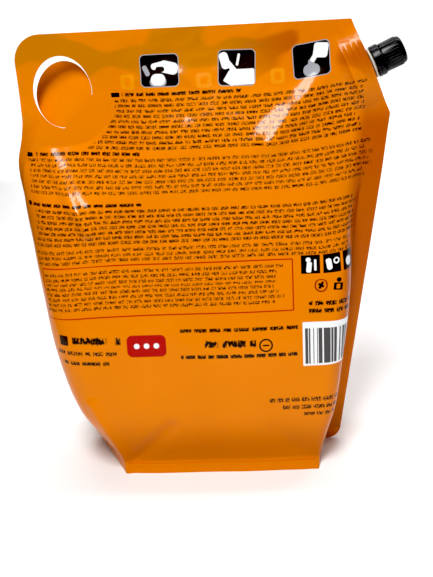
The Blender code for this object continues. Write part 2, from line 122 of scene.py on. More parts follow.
# Seams and body corners at heights above the floor: (z, x, y). y is 0 at the seams' plane.
LEFT_SEAM = [(0.000, -0.080, 0.000), (0.022, -0.092, 0.001), (0.048, -0.0995, 0.002),
             (0.080, -0.1055, 0.003), (0.110, -0.1095, 0.004), (0.140, -0.1130, 0.005),
             (0.175, -0.1150, 0.005), (0.195, -0.1125, 0.005), (0.212, -0.1030, 0.003),
             (0.225, -0.0985, 0.003), (HEIGHT, -0.0985, 0.003)]
LEFT_FOLD = [(0.000, 74), (0.170, 74), (0.195, 56), (0.212, 28), (0.228, 0), (HEIGHT, 0)]
RIGHT_SEAM_Y = [(0.000, 0.000), (0.180, 0.000), (0.212, 0.003), (HEIGHT, 0.003)]
LEFT_CORNER = [(0.000, -0.0610, 0.0378), (0.008, -0.0625, 0.0348), (0.020, -0.0700, 0.0358),
               (0.045, -0.0860, 0.0405), (0.080, -0.0970, 0.0398), (0.115, -0.1020, 0.0362),
               (0.150, -0.1050, 0.0295), (0.185, -0.1010, 0.0210), (0.215, -0.0820, 0.0140),
               (0.240, -0.0600, 0.0080), (HEIGHT, -0.0500, 0.0040)]
RIGHT_CORNER = [(0.000, 0.0635, 0.0378), (0.008, 0.0645, 0.0348), (0.020, 0.0680, 0.0358),
                (0.045, 0.0750, 0.0405), (0.080, 0.0800, 0.0400), (0.115, 0.0840, 0.0350),
                (0.150, 0.0845, 0.0275), (0.185, 0.0780, 0.0190), (0.215, 0.0680, 0.0125),
                (0.240, 0.0600, 0.0080), (HEIGHT, 0.0500, 0.0040)]
LEFT_ROUNDING = [(0.000, 0.0012), (0.008, 0.003), (0.030, 0.010), (0.070, 0.017), (0.115, 0.021),
                 (0.160, 0.028), (HEIGHT, 0.060)]
RIGHT_ROUNDING = [(0.000, 0.0012), (0.008, 0.003), (0.030, 0.009), (0.070, 0.014), (0.115, 0.016),
                  (0.150, 0.026), (0.185, 0.050), (HEIGHT, 0.060)]
CROWN = [(0.000, 0.0000), (0.008, 0.0004), (0.030, 0.0016), (0.090, 0.0030), (0.170, 0.0030),
         (HEIGHT, 0.0010)]
# Folds pressed into the printed film by packing: (x, z) to (x, z), width, lift, in metres.
FOLDS = [(0.084, 0.250, 0.038, 0.206, 0.0080, 0.0046), (-0.097, 0.206, -0.072, 0.160, 0.0042, 0.0034),
         (0.080, 0.252, 0.062, 0.234, 0.0060, 0.0026), (-0.050, 0.258, -0.058, 0.236, 0.0024, 0.0010),
         (-0.012, 0.246, -0.034, 0.216, 0.0060, 0.0010),
         (0.030, 0.250, 0.014, 0.232, 0.0040, 0.0009), (0.080, 0.200, 0.083, 0.120, 0.0050, 0.0010),
         (-0.060, 0.004, -0.078, 0.052, 0.0036, 0.0022), (-0.057, 0.006, -0.030, 0.034, 0.0050, -0.0020),
         (0.060, 0.004, 0.036, 0.030, 0.0050, -0.0009), (-0.086, 0.206, -0.058, 0.202, 0.0050, 0.0010)]
LEVEL_STEP = 0.00125
SEAL_STEPS = 6
SIDE_STEPS = 18
CORNER_STEPS = 24
FACE_STEPS = 110
ROUND_STEPS = 96


# ---------------------------------------------------------------- colour and node helpers
# Settings that many nodes share.
TIMES = {"operation": "MULTIPLY"}
PLUS = {"operation": "ADD"}
MINUS = {"operation": "SUBTRACT"}
TIMES_PLUS = {"operation": "MULTIPLY_ADD"}
SIZE_OF = {"operation": "ABSOLUTE"}
LARGER = {"operation": "MAXIMUM"}
SMOOTH = {"interpolation_type": "SMOOTHSTEP"}
FLAT = {"noise_dimensions": "2D"}
COLOURS = {"data_type": "RGBA"}


def linear(hex_colour):
    """sRGB hex colour as a linear RGBA tuple."""
    channels = [int(hex_colour[i:i + 2], 16) / 255 for i in (1, 3, 5)]
    return tuple(c / 12.92 if c <= 0.04045 else ((c + 0.055) / 1.055) ** 2.4 for c in channels) + (1.0,)


def add_node(tree, kind, settings=None, **links):
    """Add a node, set its properties, then link or set its inputs by name or number."""
    made = tree.nodes.new(kind)
    for key, value in (settings or {}).items():
        setattr(made, key, value)
    for key, value in links.items():
        socket = made.inputs[int(key[1:])] if key[0] == "i" and key[1:].isdigit() \
            else made.inputs[key.replace("_", " ")]
        if isinstance(value, bpy.types.NodeSocket):
            tree.links.new(value, socket)
        else:
            socket.default_value = value
    return made


def new_material(name):
    material = bpy.data.materials.new(name)
    material.use_nodes = True
    tree = material.node_tree
    return material, tree, tree.nodes["Principled BSDF"]


def make_object(name, mesh, material=None):
    obj = bpy.data.objects.new(name, mesh)
    bpy.context.scene.collection.objects.link(obj)
    if material:
        mesh.materials.append(material)
    return obj


def finished(data, name):
    """Mesh of what was built up in a bmesh, its faces all looking outwards."""
    bmesh.ops.recalc_face_normals(data, faces=data.faces)
    mesh = bpy.data.meshes.new(name)
    data.to_mesh(mesh)
    data.free()
    return mesh


def band_of_faces(data, low, high):
    """Faces between two closed loops of vertices, one for each step along them."""
    return [data.faces.new((low[i], low[(i + 1) % len(low)], high[(i + 1) % len(low)], high[i]))
            for i in range(len(low))]


# ---------------------------------------------------------------- form of the pouch
def along(table, z):
    """Smoothly interpolate a table of (z, value, ...) rows; returns a value or a tuple."""
    z = min(max(z, table[0][0]), table[-1][0])
    row = max(i for i in range(len(table) - 1) if table[i][0] <= z)
    low, high = table[row], table[row + 1]
    before = table[max(row - 1, 0)]
    after = table[min(row + 2, len(table) - 1)]
    span = high[0] - low[0]
    t = (z - low[0]) / span
    values = []
    for k in range(1, len(low)):
        slope_in = (high[k] - before[k]) / (high[0] - before[0])
        slope_out = (after[k] - low[k]) / (after[0] - low[0])
        values.append((2 * t**3 - 3 * t**2 + 1) * low[k] + (t**3 - 2 * t**2 + t) * span * slope_in
                      + (3 * t**2 - 2 * t**3) * high[k] + (t**3 - t**2) * span * slope_out)
    return values[0] if len(values) == 1 else tuple(values)


def swell(distance, reach):
    """0 on a seal's inner edge, rising like inflated film to 1 at the given reach."""
    t = min(max(distance / reach, 0.0), 1.0)
    return math.sin(t * math.pi / 2) ** 0.85


def slant_frame():
    """Origin on the slanted edge at the spout, its direction downwards and outwards."""
    top = Vector((SLANT_TOP[0], SEALED_PLANE_Y, SLANT_TOP[1]))
    end = Vector((SHOULDER[0], SEALED_PLANE_Y, SHOULDER[1]))
    down = (end - top).normalized()
    return top + down * SPOUT_ALONG, down, Vector((-down.z, 0, down.x))


SPOUT_ORIGIN, SLANT_DOWN, SPOUT_AXIS = slant_frame()
SPOUT_PLACE = Matrix.Translation(SPOUT_ORIGIN) @ Matrix(
    (SLANT_DOWN, SPOUT_AXIS.cross(SLANT_DOWN), SPOUT_AXIS)).transposed().to_4x4()


def right_edge(z):
    """Outer edge of the right side seal and of the slanted corner."""
    if z > SHOULDER[1]:
        t = (z - SHOULDER[1]) / (HEIGHT - SHOULDER[1])
        return SHOULDER[0] + (SLANT_TOP[0] - SHOULDER[0]) * t
    x = RIGHT_FOOT_X + (SHOULDER[0] - RIGHT_FOOT_X) * z / SHOULDER[1]
    if z < FOOT_RADIUS:
        x -= FOOT_RADIUS - math.sqrt(FOOT_RADIUS**2 - (FOOT_RADIUS - z)**2)
    return x


def left_corner_inset(z):
    """How far the rounded top left corner draws the left edge in."""
    lift = z - (HEIGHT - CORNER_RADIUS)
    if lift <= 0:
        return 0.0
    return CORNER_RADIUS - math.sqrt(max(CORNER_RADIUS**2 - lift**2, 0.0))


def seams(z):
    """Inner edge and outer tip of both side seals at a height, as flat (x, y) vectors."""
    left = Vector(along(LEFT_SEAM, z))
    fold = math.radians(along(LEFT_FOLD, z))
    left_tip = left + Vector((-math.cos(fold), math.sin(fold))) * SIDE_SEAL
    inset = left_corner_inset(z)
    left.x += inset
    left_tip.x += inset
    edge = right_edge(z)
    right_tip = Vector((edge, along(RIGHT_SEAM_Y, z)))
    right = Vector((edge - SIDE_SEAL, right_tip.y))
    if z < FOOT_RADIUS:
        right.x = right_edge(FOOT_RADIUS) - SIDE_SEAL
    return left, left_tip, right, right_tip


def pocket(x, z):
    """How much of the full depth the film has here: 0 on every seal at the top."""
    hole_x = max(x - HOLE_CENTRE[0], 0.0)
    hole_z = max(HOLE_CENTRE[1] - z, 0.0)
    from_hole = math.hypot(hole_x, hole_z) - HOLE_SEAL_RADIUS
    from_top = HEIGHT - TOP_SEAL - z
    from_slant = -((x - SPOUT_ORIGIN.x) * SPOUT_AXIS.x + (z - SPOUT_ORIGIN.z) * SPOUT_AXIS.z)
    return (swell(from_hole, HOLE_SWELL) * swell(from_top, TOP_SWELL)
            * swell(from_slant - SLANT_SEAL, SLANT_SWELL))


def over_boat(x, z):
    """How far one film stands off the seam's plane where it wraps the spout's boat."""
    dx, dz = x - SPOUT_ORIGIN.x, z - SPOUT_ORIGIN.z
    t = min(abs(dx * SLANT_DOWN.x + dz * SLANT_DOWN.z) / (BOAT_HALF_LENGTH + BOAT_BLEND), 1.0)
    width = (BOAT_HALF_WIDTH + CLEARANCE + FILM_OVER_BOAT) * (1 - t**2)**1.5
    inward = -(dx * SPOUT_AXIS.x + dz * SPOUT_AXIS.z) - BOAT_DEPTH
    return width * (1 - swell(inward, BOAT_RUN_OUT))


def rounded_corner(start, corner, end, reach):
    """Points of a curve that leaves start-corner and joins corner-end within reach of both."""
    first = corner + (start - corner).normalized() * min(reach, (start - corner).length * 0.9)
    last = corner + (end - corner).normalized() * min(reach, (end - corner).length * 0.9)
    points = []
    for i in range(CORNER_STEPS + 1):
        t = i / CORNER_STEPS
        points.append(first * (1 - t)**2 + corner * 2 * t * (1 - t) + last * t**2)
    return points


def wrinkle(x, z, facing):
    """Shallow folds and dents of the filled film, in metres."""
    slow = noise.noise(Vector((x * 26, z * 20, facing * 3.1)))
    height = 0.0009 * slow
    crumple = min(max((z - 0.205) / 0.045, 0.0), 1.0)
    if crumple > 0:
        quick = noise.noise(Vector((x * 62 + z * 20, z * 75, facing * 5.7)))
        height += 0.0012 * crumple * (abs(quick) * 1.6 - 0.35)
    for x0, z0, x1, z1, width, lift in FOLDS:
        span_x, span_z = x1 - x0, z1 - z0
        t = ((x - x0) * span_x + (z - z0) * span_z) / (span_x**2 + span_z**2)
        nearest = min(max(t, 0.0), 1.0)
        gap = math.hypot(x - x0 - span_x * nearest, z - z0 - span_z * nearest)
        if gap < width * 3 and facing < 0:
            height += lift * math.exp(-(gap / width)**2)
    return height


def seal_wave(x, z):
    """Crumpling of the welded top band between handle and spout, the same on both films."""
    inside = min(max((x + 0.060) / 0.02, 0.0), 1.0) * min(max((0.060 - x) / 0.02, 0.0), 1.0)
    high = min(max((z - 0.226) / 0.03, 0.0), 1.0)
    if inside * high == 0:
        return 0.0
    broad = noise.noise(Vector((x * 34, z * 52, 4.4)))
    sharp = abs(noise.noise(Vector((x * 70 - z * 30, z * 90, 8.8))))
    return inside * high * (0.0016 * broad + 0.0014 * sharp)


def seal_crease(x, z):
    """Ridge where the film swings out beside the slanted seal."""
    dx, dz = x - SPOUT_ORIGIN.x, z - SPOUT_ORIGIN.z
    inward = -(dx * SPOUT_AXIS.x + dz * SPOUT_AXIS.z)
    t = min(abs(dx * SLANT_DOWN.x + dz * SLANT_DOWN.z) / CREASE_REACH, 1.0)
    return CREASE_HEIGHT * math.exp(-((inward - CREASE_INSET) / CREASE_WIDTH)**2) * (1 - t**2)**2


def section(z, facing):
    """One film's outline at a height, from left seam to right seam; facing is -1 for the back."""
    left, _, right, _ = seams(z)
    x, depth = along(LEFT_CORNER, z)
    left_corner = Vector((x, left.y + facing * depth))
    x, depth = along(RIGHT_CORNER, z)
    right_corner = Vector((x, right.y + facing * depth))
    middle = (left_corner + right_corner) / 2
    turn_left = rounded_corner(left, left_corner, middle, along(LEFT_ROUNDING, z))
    turn_right = rounded_corner(middle, right_corner, right, along(RIGHT_ROUNDING, z))
    points = [left.lerp(turn_left[0], i / SIDE_STEPS) for i in range(SIDE_STEPS)]
    points += turn_left[:-1]
    points += [turn_left[-1].lerp(turn_right[0], i / FACE_STEPS) for i in range(FACE_STEPS)]
    points += turn_right
    points += [turn_right[-1].lerp(right, i / SIDE_STEPS) for i in range(1, SIDE_STEPS + 1)]
    crown = along(CROWN, z)
    placed = []
    for point in points:
        share = min(max((point.x - left.x) / (right.x - left.x), 0.0), 1.0)
        seam_y = left.y + (right.y - left.y) * share + seal_wave(point.x, z)
        full = pocket(point.x, z)
        bulge = (point.y - seam_y) + facing * crown * math.sin(math.pi * share)
        bulge = bulge * full + facing * wrinkle(point.x, z, facing) * math.sqrt(full)
        if z > BOAT_ZONE_BOTTOM:
            bulge = facing * (max(abs(bulge), over_boat(point.x, z)) + seal_crease(point.x, z))
        placed.append(Vector((point.x, seam_y + bulge)))
    return placed


def ring(z):
    """The pouch's whole outline at a height: back film, right seal, front film, left seal."""
    left, left_tip, right, right_tip = seams(z)
    left_run = (left_tip - left).normalized()
    right_run = (right_tip - right).normalized()
    left_out = Vector((-left_run.y, left_run.x)) * FILM / 2
    right_out = Vector((right_run.y, -right_run.x)) * FILM / 2
    half = Vector((0, FILM / 2))
    back = [p - half for p in section(z, -1)]
    front = [p + half for p in section(z, 1)]
    back[0], front[0] = left + left_out, left - left_out
    lift = Vector((0, over_boat(right_tip.x, z) if z > BOAT_ZONE_BOTTOM else 0.0))
    outline = [(left_tip + left_out).lerp(back[0], i / SEAL_STEPS) for i in range(SEAL_STEPS)]
    outline += back
    right_back = right_tip + right_out - lift
    outline += [back[-1].lerp(right_back, i / SEAL_STEPS) for i in range(1, SEAL_STEPS + 1)]
    right_front = right_tip - right_out + lift
    outline += [right_front.lerp(front[-1], i / SEAL_STEPS) for i in range(SEAL_STEPS)]
    outline += front[::-1]
    left_front = left_tip - left_out
    outline += [front[0].lerp(left_front, i / SEAL_STEPS) for i in range(1, SEAL_STEPS + 1)]
    return [Vector((p.x, p.y, z)) for p in outline]


def inset_ring(outline, inset, height):
    """The base outline drawn in evenly from all sides and set at a height."""
    low_x = min(point.x for point in outline)
    high_x = max(point.x for point in outline)
    middle_x, reach_x = (low_x + high_x) / 2, (high_x - low_x) / 2
    reach_y = max(abs(point.y) for point in outline)
    points = []
    for point in outline:
        x = middle_x + (point.x - middle_x) * (1 - inset / reach_x)
        points.append(Vector((x, point.y * (1 - inset / reach_y), height)))
    return points


def pouch_levels():
    """Heights of the rings, closer where the foot and the top corners turn."""
    count = round(HEIGHT / LEVEL_STEP)
    levels = [HEIGHT * i / count for i in range(count + 1)]
    levels += [0.0004, 0.0008, HEIGHT - 0.0002, HEIGHT - 0.0006]
    return sorted(levels)


def film_mesh():
    """Films as one closed skin with a UV map of flat film sizes in metres, back and front."""
    data = bmesh.new()
    uv = data.loops.layers.uv.new("film")
    levels = pouch_levels()
    rings = [ring(z) for z in levels]
    loops = [[data.verts.new(point) for point in points] for points in rings]
    count = len(rings[0])
    half = count // 2
    coords = []
    middle_climb = 0.0
    previous = None
    for points in rings:
        mid = min(range(half), key=lambda i: abs(points[i].x))
        if previous is not None:
            middle_climb += (points[mid] - previous).length
        previous = points[mid]
        run = [0.0]
        for a, b in zip(points, points[1:] + points[:1]):
            run.append(run[-1] + (b - a).length)
        centre = run[mid] - points[mid].x
        back_mid = min(range(half, count), key=lambda i: abs(points[i].x))
        front_centre = run[back_mid] + points[back_mid].x - 1.0
        coords.append([(value - (centre if i < half else front_centre), middle_climb)
                       for i, value in enumerate(run)])
    for low, high, low_uv, high_uv in zip(loops, loops[1:], coords, coords[1:]):
        for i, face in enumerate(band_of_faces(data, low, high)):
            corners = (low_uv[i], low_uv[i + 1], high_uv[i + 1], high_uv[i])
            if i in (half - 1, count - 1):
                corners = (low_uv[i], low_uv[i], high_uv[i], high_uv[i])
            for loop, place in zip(face.loops, corners):
                loop[uv].uv = place
    data.faces.new(loops[-1])
    foot = loops[0]
    core = foot[SEAL_STEPS:half - SEAL_STEPS] + foot[half + SEAL_STEPS:count - SEAL_STEPS]
    for i in range(SEAL_STEPS):
        data.faces.new((foot[i], foot[i + 1], foot[-2 - i], foot[-1 - i]))
        data.faces.new((foot[half - 2 - i], foot[half - 1 - i], foot[half + i], foot[half + 1 + i]))
    outline = [vert.co.copy() for vert in core]
    underside = [(RIM_THICKNESS, 0.0), (RIM_THICKNESS + 0.0002, 0.0010),
                 (RIM_THICKNESS + 0.0006, RIM_HEIGHT)]
    for i in range(1, 9):
        t = i / 9
        underside.append((RIM_THICKNESS + 0.0006 + 0.017 * t, RIM_HEIGHT * (1 - t)**2 * (1 + 1.2 * t)))
    underside.append((0.0195, 0.0))
    for inset, height in underside:
        inner = [data.verts.new(point) for point in inset_ring(outline, inset, height)]
        band_of_faces(data, core, inner)
        core = inner
    data.faces.new(core)
    return finished(data, "film_skin")


# ---------------------------------------------------------------- finger hole and flap
def prism(outline, low_y, high_y):
    """Closed prism over an (x, z) outline."""
    data = bmesh.new()
    loops = [[data.verts.new((x, y, z)) for x, z in outline] for y in (low_y, high_y)]
    band_of_faces(data, *loops)
    data.faces.new(loops[0][::-1])
    data.faces.new(loops[1])
    return finished(data, "prism")


def hole_frame():
    """Middle of the flap's hinge line, its direction and the way the flap points."""
    right, low = (Vector((HOLE_CENTRE[0] + HOLE_RADII[0] * math.cos(angle), 0,
                          HOLE_CENTRE[1] + HOLE_RADII[1] * math.sin(angle)))
                  for angle in (FLAP_HINGE_ANGLE, FLAP_HINGE_ANGLE - math.pi / 2))
    hinge = (right - low).normalized()
    return (right + low) / 2, hinge, Vector((-hinge.z, 0, hinge.x))


def hole_outline():
    """Die-cut line: three quarters of an oval, closed along the flap's hinge line."""
    points = []
    for i in range(ROUND_STEPS + 1):
        angle = FLAP_HINGE_ANGLE + 1.5 * math.pi * i / ROUND_STEPS
        points.append((HOLE_CENTRE[0] + HOLE_RADII[0] * math.cos(angle),
                       HOLE_CENTRE[1] + HOLE_RADII[1] * math.sin(angle)))
    return points


def flap_chord(middle, hinge, away, reach):
    """Ends along the hinge direction of the oval's chord at a distance from the hinge line."""
    a, b = (radius - FLAP_GAP for radius in HOLE_RADII)
    base = middle + away * reach - Vector((HOLE_CENTRE[0], 0, HOLE_CENTRE[1]))
    u = Vector((base.x / a, base.z / b))
    v = Vector((hinge.x / a, hinge.z / b))
    across, square = u.dot(v), v.dot(v)
    root = math.sqrt(max(across**2 - square * (u.dot(u) - 1), 0.0))
    return (-across - root) / square, (-across + root) / square


def flap_mesh():
    """The punched disc of film, joined along its hinge line and curled back."""
    middle, hinge, away = hole_frame()
    a, b = (radius - FLAP_GAP for radius in HOLE_RADII)
    centre = Vector((HOLE_CENTRE[0], 0, HOLE_CENTRE[1]))
    length = (centre - middle).dot(away) + math.hypot(a * away.x, b * away.z)
    rows, columns = 48, 40
    data = bmesh.new()
    uv = data.loops.layers.uv.new("film")
    thickness = FILM * 0.8
    loops, places = [], []
    for row in range(rows + 1):
        reach = -FLAP_ROOT + (length * 0.999 + FLAP_ROOT) * (1 - math.cos(math.pi * row / rows)) / 2
        start, end = flap_chord(middle, hinge, away, max(reach, 0.0))
        if reach < 0:
            start, end = start + FLAP_ROOT, end - FLAP_ROOT
        share_out = max(reach, 0.0) / length
        settle = (1 + FLAP_BEND) * share_out**2 / (share_out + FLAP_BEND)
        angle = math.atan(FLAP_TIP_DEPTH / length * min(share_out / FLAP_BEND, 1.0))
        normal = -Vector((0, math.cos(angle), 0)) + away * math.sin(angle)
        line, flat = [], []
        for column in range(columns + 1):
            share = start + (end - start) * column / columns
            point = middle + away * reach + hinge * share
            point.y = SEALED_PLANE_Y + FLAP_TIP_DEPTH * settle
            point.z -= FLAP_TIP_DROP * settle
            point.x -= FLAP_TIP_LEFT * settle
            line.append(point)
            home = middle + away * reach + hinge * share
            flat.append((home.x, home.z))
        outline = [p + normal * thickness / 2 for p in line]
        outline += [p - normal * thickness / 2 for p in line[::-1]]
        loops.append([data.verts.new(point) for point in outline])
        places.append(flat + [(1.0 - x, z) for x, z in flat[::-1]])
    for low, high, low_uv, high_uv in zip(loops, loops[1:], places, places[1:]):
        for i, face in enumerate(band_of_faces(data, low, high)):
            j = (i + 1) % len(low)
            for loop, place in zip(face.loops, (low_uv[i], low_uv[j], high_uv[j], high_uv[i])):
                loop[uv].uv = place
    data.faces.new(loops[0][::-1])
    data.faces.new(loops[-1])
    return finished(data, "flap")


def settled(obj, name):
    """Turn an object with modifiers into a plain object of the same place and remove the first."""
    evaluated = obj.evaluated_get(bpy.context.evaluated_depsgraph_get())
    mesh = bpy.data.meshes.new_from_object(evaluated)
    mesh.name = name
    bpy.data.objects.remove(obj)
    return make_object(name, mesh)


def assign_zones(mesh, materials):
    """Give each face the material of its zone, by its place in the film's own coordinates."""
    flat = mesh.uv_layers["film"].data
    for face in mesh.polygons:
        across = sum(flat[i].uv.x for i in face.loop_indices) / face.loop_total
        up = sum(flat[i].uv.y for i in face.loop_indices) / face.loop_total * 1000
        zone = [low < up <= high for _, low, high in BACK_ZONES].index(True)
        face.material_index = len(BACK_ZONES) if across > 0.5 else zone
    for material in materials:
        mesh.materials.append(material)


def build_film():
    """The pouch with its hole, flap and the mouth in which the spout's boat is welded."""
    body = make_object("film_blank", film_mesh())
    hole = make_object("hole_guide", prism(hole_outline(), SEALED_PLANE_Y - HOLE_CUT_REACH,
                                           SEALED_PLANE_Y + HOLE_CUT_REACH))
    flap = make_object("flap_guide", flap_mesh())
    for guide, operation in ((hole, "DIFFERENCE"), (flap, "UNION")):
        modifier = body.modifiers.new(operation, "BOOLEAN")
        modifier.operation = operation
        modifier.object = guide
    film = settled(body, "pouch_film")
    for guide in (hole, flap):
        bpy.data.objects.remove(guide)
    film.data.materials.clear()
    small_print, patch = text_group(), patch_group()
    materials = [film_material(*zone, small_print, patch) for zone in BACK_ZONES]
    materials.append(film_material("front_print", -1000, 1000, small_print, patch, front=True))
    assign_zones(film.data, materials)
    film.data.shade_smooth()
    film.data.set_sharp_from_angle(angle=math.radians(50))
    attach(film, "pack")
    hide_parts("pouch")
    return film


def new_group(name, inputs):
    """Shader group with named inputs and one Mask output; returns the tree and both ends."""
    group = bpy.data.node_groups.new(name, "ShaderNodeTree")
    for socket, kind in inputs.items():
        group.interface.new_socket(socket, in_out="INPUT", socket_type=f"NodeSocket{kind}")
    group.interface.new_socket("Mask", in_out="OUTPUT", socket_type="NodeSocketFloat")
    return group, group.nodes.new("NodeGroupInput").outputs, group.nodes.new("NodeGroupOutput").inputs


def patch_group():
    """A printed patch: rounded rectangle by centre, half size and corner radius, in millimetres."""
    group, given, result = new_group("printed_patch", {"Place": "Vector", "Centre": "Vector",
                                                       "Half": "Vector", "Corner": "Float",
                                                       "Turn": "Float"})
    offset = add_node(group, "ShaderNodeVectorMath", MINUS, i0=given["Place"], i1=given["Centre"])
    turned_place = add_node(group, "ShaderNodeVectorRotate", {"rotation_type": "Z_AXIS"},
                            Vector=offset.outputs[0], Angle=given["Turn"])
    folded = add_node(group, "ShaderNodeVectorMath", SIZE_OF, i0=turned_place.outputs[0])
    inner = add_node(group, "ShaderNodeCombineXYZ", X=given["Corner"], Y=given["Corner"])
    core = add_node(group, "ShaderNodeVectorMath", MINUS, i0=given["Half"], i1=inner.outputs[0])
    beyond = add_node(group, "ShaderNodeVectorMath", MINUS, i0=folded.outputs[0], i1=core.outputs[0])
    outside = add_node(group, "ShaderNodeVectorMath", LARGER, i0=beyond.outputs[0], i1=(0, 0, 0))
    length = add_node(group, "ShaderNodeVectorMath", {"operation": "LENGTH"}, i0=outside.outputs[0])
    distance = add_node(group, "ShaderNodeMath", MINUS, i0=length.outputs["Value"], i1=given["Corner"])
    mask = add_node(group, "ShaderNodeMapRange", SMOOTH,
                    i0=distance.outputs[0], i1=-0.15, i2=0.15, i3=1.0, i4=0.0)
    group.links.new(mask.outputs[0], result["Mask"])
    return group


def text_group():
    """Small print too fine to read: rows of word-long dashes broken into strokes, millimetres."""
    group, given, result = new_group("small_print", {
        "Place": "Vector", "Left": "Float", "Right": "Float", "Top": "Float", "Rows": "Float",
        "Pitch": "Float", "Lean": "Float", "Seed": "Float", "Weight": "Float", "Word": "Float"})
    axes = add_node(group, "ShaderNodeSeparateXYZ", Vector=given["Place"])
    across, up = axes.outputs["X"], axes.outputs["Y"]
    drop = add_node(group, "ShaderNodeMath", MINUS, i0=given["Top"], i1=up)
    row = add_node(group, "ShaderNodeMath", {"operation": "DIVIDE"},
                   i0=drop.outputs[0], i1=given["Pitch"])
    number = add_node(group, "ShaderNodeMath", {"operation": "FLOOR"}, i0=row.outputs[0])
    part = add_node(group, "ShaderNodeMath", {"operation": "FRACT"}, i0=row.outputs[0])
    middle = add_node(group, "ShaderNodeMath", MINUS, i0=part.outputs[0], i1=0.5)
    off_line = add_node(group, "ShaderNodeMath", SIZE_OF, i0=middle.outputs[0])
    # tall and low letters: the line's edge wavers from stroke to stroke
    stroke_place = add_node(group, "ShaderNodeVectorMath", TIMES, i0=given["Place"], i1=(1.5, 0.8, 0))
    stroke = add_node(group, "ShaderNodeTexNoise", FLAT,
                      Vector=stroke_place.outputs[0], Scale=1.0, Detail=1.0, Roughness=0.5)
    waver = add_node(group, "ShaderNodeMath", TIMES_PLUS,
                     i0=stroke.outputs[0], i1=-0.34, i2=off_line.outputs[0])
    line = add_node(group, "ShaderNodeMapRange", SMOOTH,
                    i0=waver.outputs[0], i1=0.02, i2=0.17, i3=1.0, i4=0.0)
    inked = add_node(group, "ShaderNodeMath", PLUS, i0=stroke.outputs[0], i1=given["Weight"])
    ink = add_node(group, "ShaderNodeMapRange", SMOOTH,
                   i0=inked.outputs[0], i1=0.42, i2=0.57, i3=0.0, i4=1.0)
    row_shift = add_node(group, "ShaderNodeMath", TIMES_PLUS,
                         i0=number.outputs[0], i1=7.31, i2=given["Seed"])
    word_place = add_node(group, "ShaderNodeMath", {"operation": "DIVIDE"}, i0=across, i1=given["Word"])
    word_shift = add_node(group, "ShaderNodeMath", PLUS,
                          i0=word_place.outputs[0], i1=row_shift.outputs[0])
    word = add_node(group, "ShaderNodeTexVoronoi",
                    {"voronoi_dimensions": "1D", "feature": "DISTANCE_TO_EDGE"},
                    W=word_shift.outputs[0], Scale=1.0)
    gap = add_node(group, "ShaderNodeMapRange", SMOOTH,
                   i0=word.outputs["Distance"], i1=0.06, i2=0.13, i3=0.0, i4=1.0)
    rag = add_node(group, "ShaderNodeTexWhiteNoise", {"noise_dimensions": "1D"}, W=row_shift.outputs[0])
    short = add_node(group, "ShaderNodeMath", TIMES_PLUS,
                     i0=rag.outputs["Value"], i1=-7.0, i2=given["Right"])
    right = add_node(group, "ShaderNodeMath", {"operation": "LESS_THAN"}, i0=across, i1=short.outputs[0])
    fallen = add_node(group, "ShaderNodeMath", TIMES, i0=drop.outputs[0], i1=drop.outputs[0])
    edge = add_node(group, "ShaderNodeMath", TIMES_PLUS,
                    i0=fallen.outputs[0], i1=given["Lean"], i2=given["Left"])
    left = add_node(group, "ShaderNodeMath", {"operation": "GREATER_THAN"}, i0=across, i1=edge.outputs[0])
    first = add_node(group, "ShaderNodeMath", {"operation": "GREATER_THAN"}, i0=row.outputs[0], i1=0.0)
    last = add_node(group, "ShaderNodeMath", {"operation": "LESS_THAN"},
                    i0=row.outputs[0], i1=given["Rows"])
    mask = line.outputs[0]
    for factor in (ink, gap, right, left, first, last):
        mask = add_node(group, "ShaderNodeMath", TIMES, i0=mask, i1=factor.outputs[0]).outputs[0]
    group.links.new(mask, result["Mask"])
    return group


def print_layer(tree, under, mask, colour):
    """One printed ink over the colours below it."""
    return add_node(tree, "ShaderNodeMix", COLOURS, i0=mask, i6=under, i7=linear(colour)).outputs[2]


def film_place(tree, front):
    """Place on the flat film in millimetres from the middle of one panel's foot."""
    flat = add_node(tree, "ShaderNodeUVMap", {"uv_map": "film"})
    return add_node(tree, "ShaderNodeVectorMath", TIMES_PLUS,
                    i0=flat.outputs[0], i1=(1000, 1000, 0),
                    i2=(-1000, 0, 0) if front else (0, 0, 0)).outputs[0]


ORANGE_INK = "#e07d03"
BLACK_INK = "#1a0d04"
TEXT_INK = "#2c1403"
RED_INK = "#ad0a04"
LINE_INK = "#b42608"
WHITE_INK = "#eef0f2"
GREY_INK = "#9c9ea4"
# Small print: left, right, top, rows, pitch, lean, seed, weight, word length, in millimetres.
TEXT_ROWS = [(-49, 24, 251.6, 1, 3.6, 0.0, 1.0, 0.14, 8), (-54, 98, 247.9, 10, 3.15, -0.022, 2.3, 0.03, 7),
             (-107, -34, 216.3, 1, 3.6, 0.0, 3.1, 0.14, 8), (-113, 104, 212.5, 7, 3.2, 0.0, 4.7, 0.0, 6),
             (-112, -34, 186.0, 1, 3.6, 0.0, 5.2, 0.14, 8), (-110, 98, 182.0, 7, 3.3, 0.0, 6.9, 0.03, 6),
             (-111, 94, 157.6, 3, 3.2, 0.0, 7.4, 0.0, 7), (-104, 44, 143.8, 8, 3.15, 0.0, 8.8, 0.0, 6),
             (58, 92, 120.5, 2, 4.6, 0.0, 9.5, 0.14, 8), (-20, 57, 106.0, 1, 4.0, 0.0, 10.4, 0.14, 9),
             (-20, 57, 89.5, 1, 4.2, 0.0, 11.6, 0.18, 7), (-99, -54, 92.6, 1, 4.4, 0.0, 12.2, 0.06, 9),
             (-96, -62, 86.0, 1, 4.0, 0.0, 13.9, 0.14, 9),
             (33, 86, 58.6, 1, 5.0, 0.0, 31.0, 0.06, 6), (41, 86, 53.2, 1, 5.0, 0.0, 32.0, 0.06, 6),
             (54, 86, 47.8, 1, 5.0, 0.0, 33.0, 0.06, 6)]
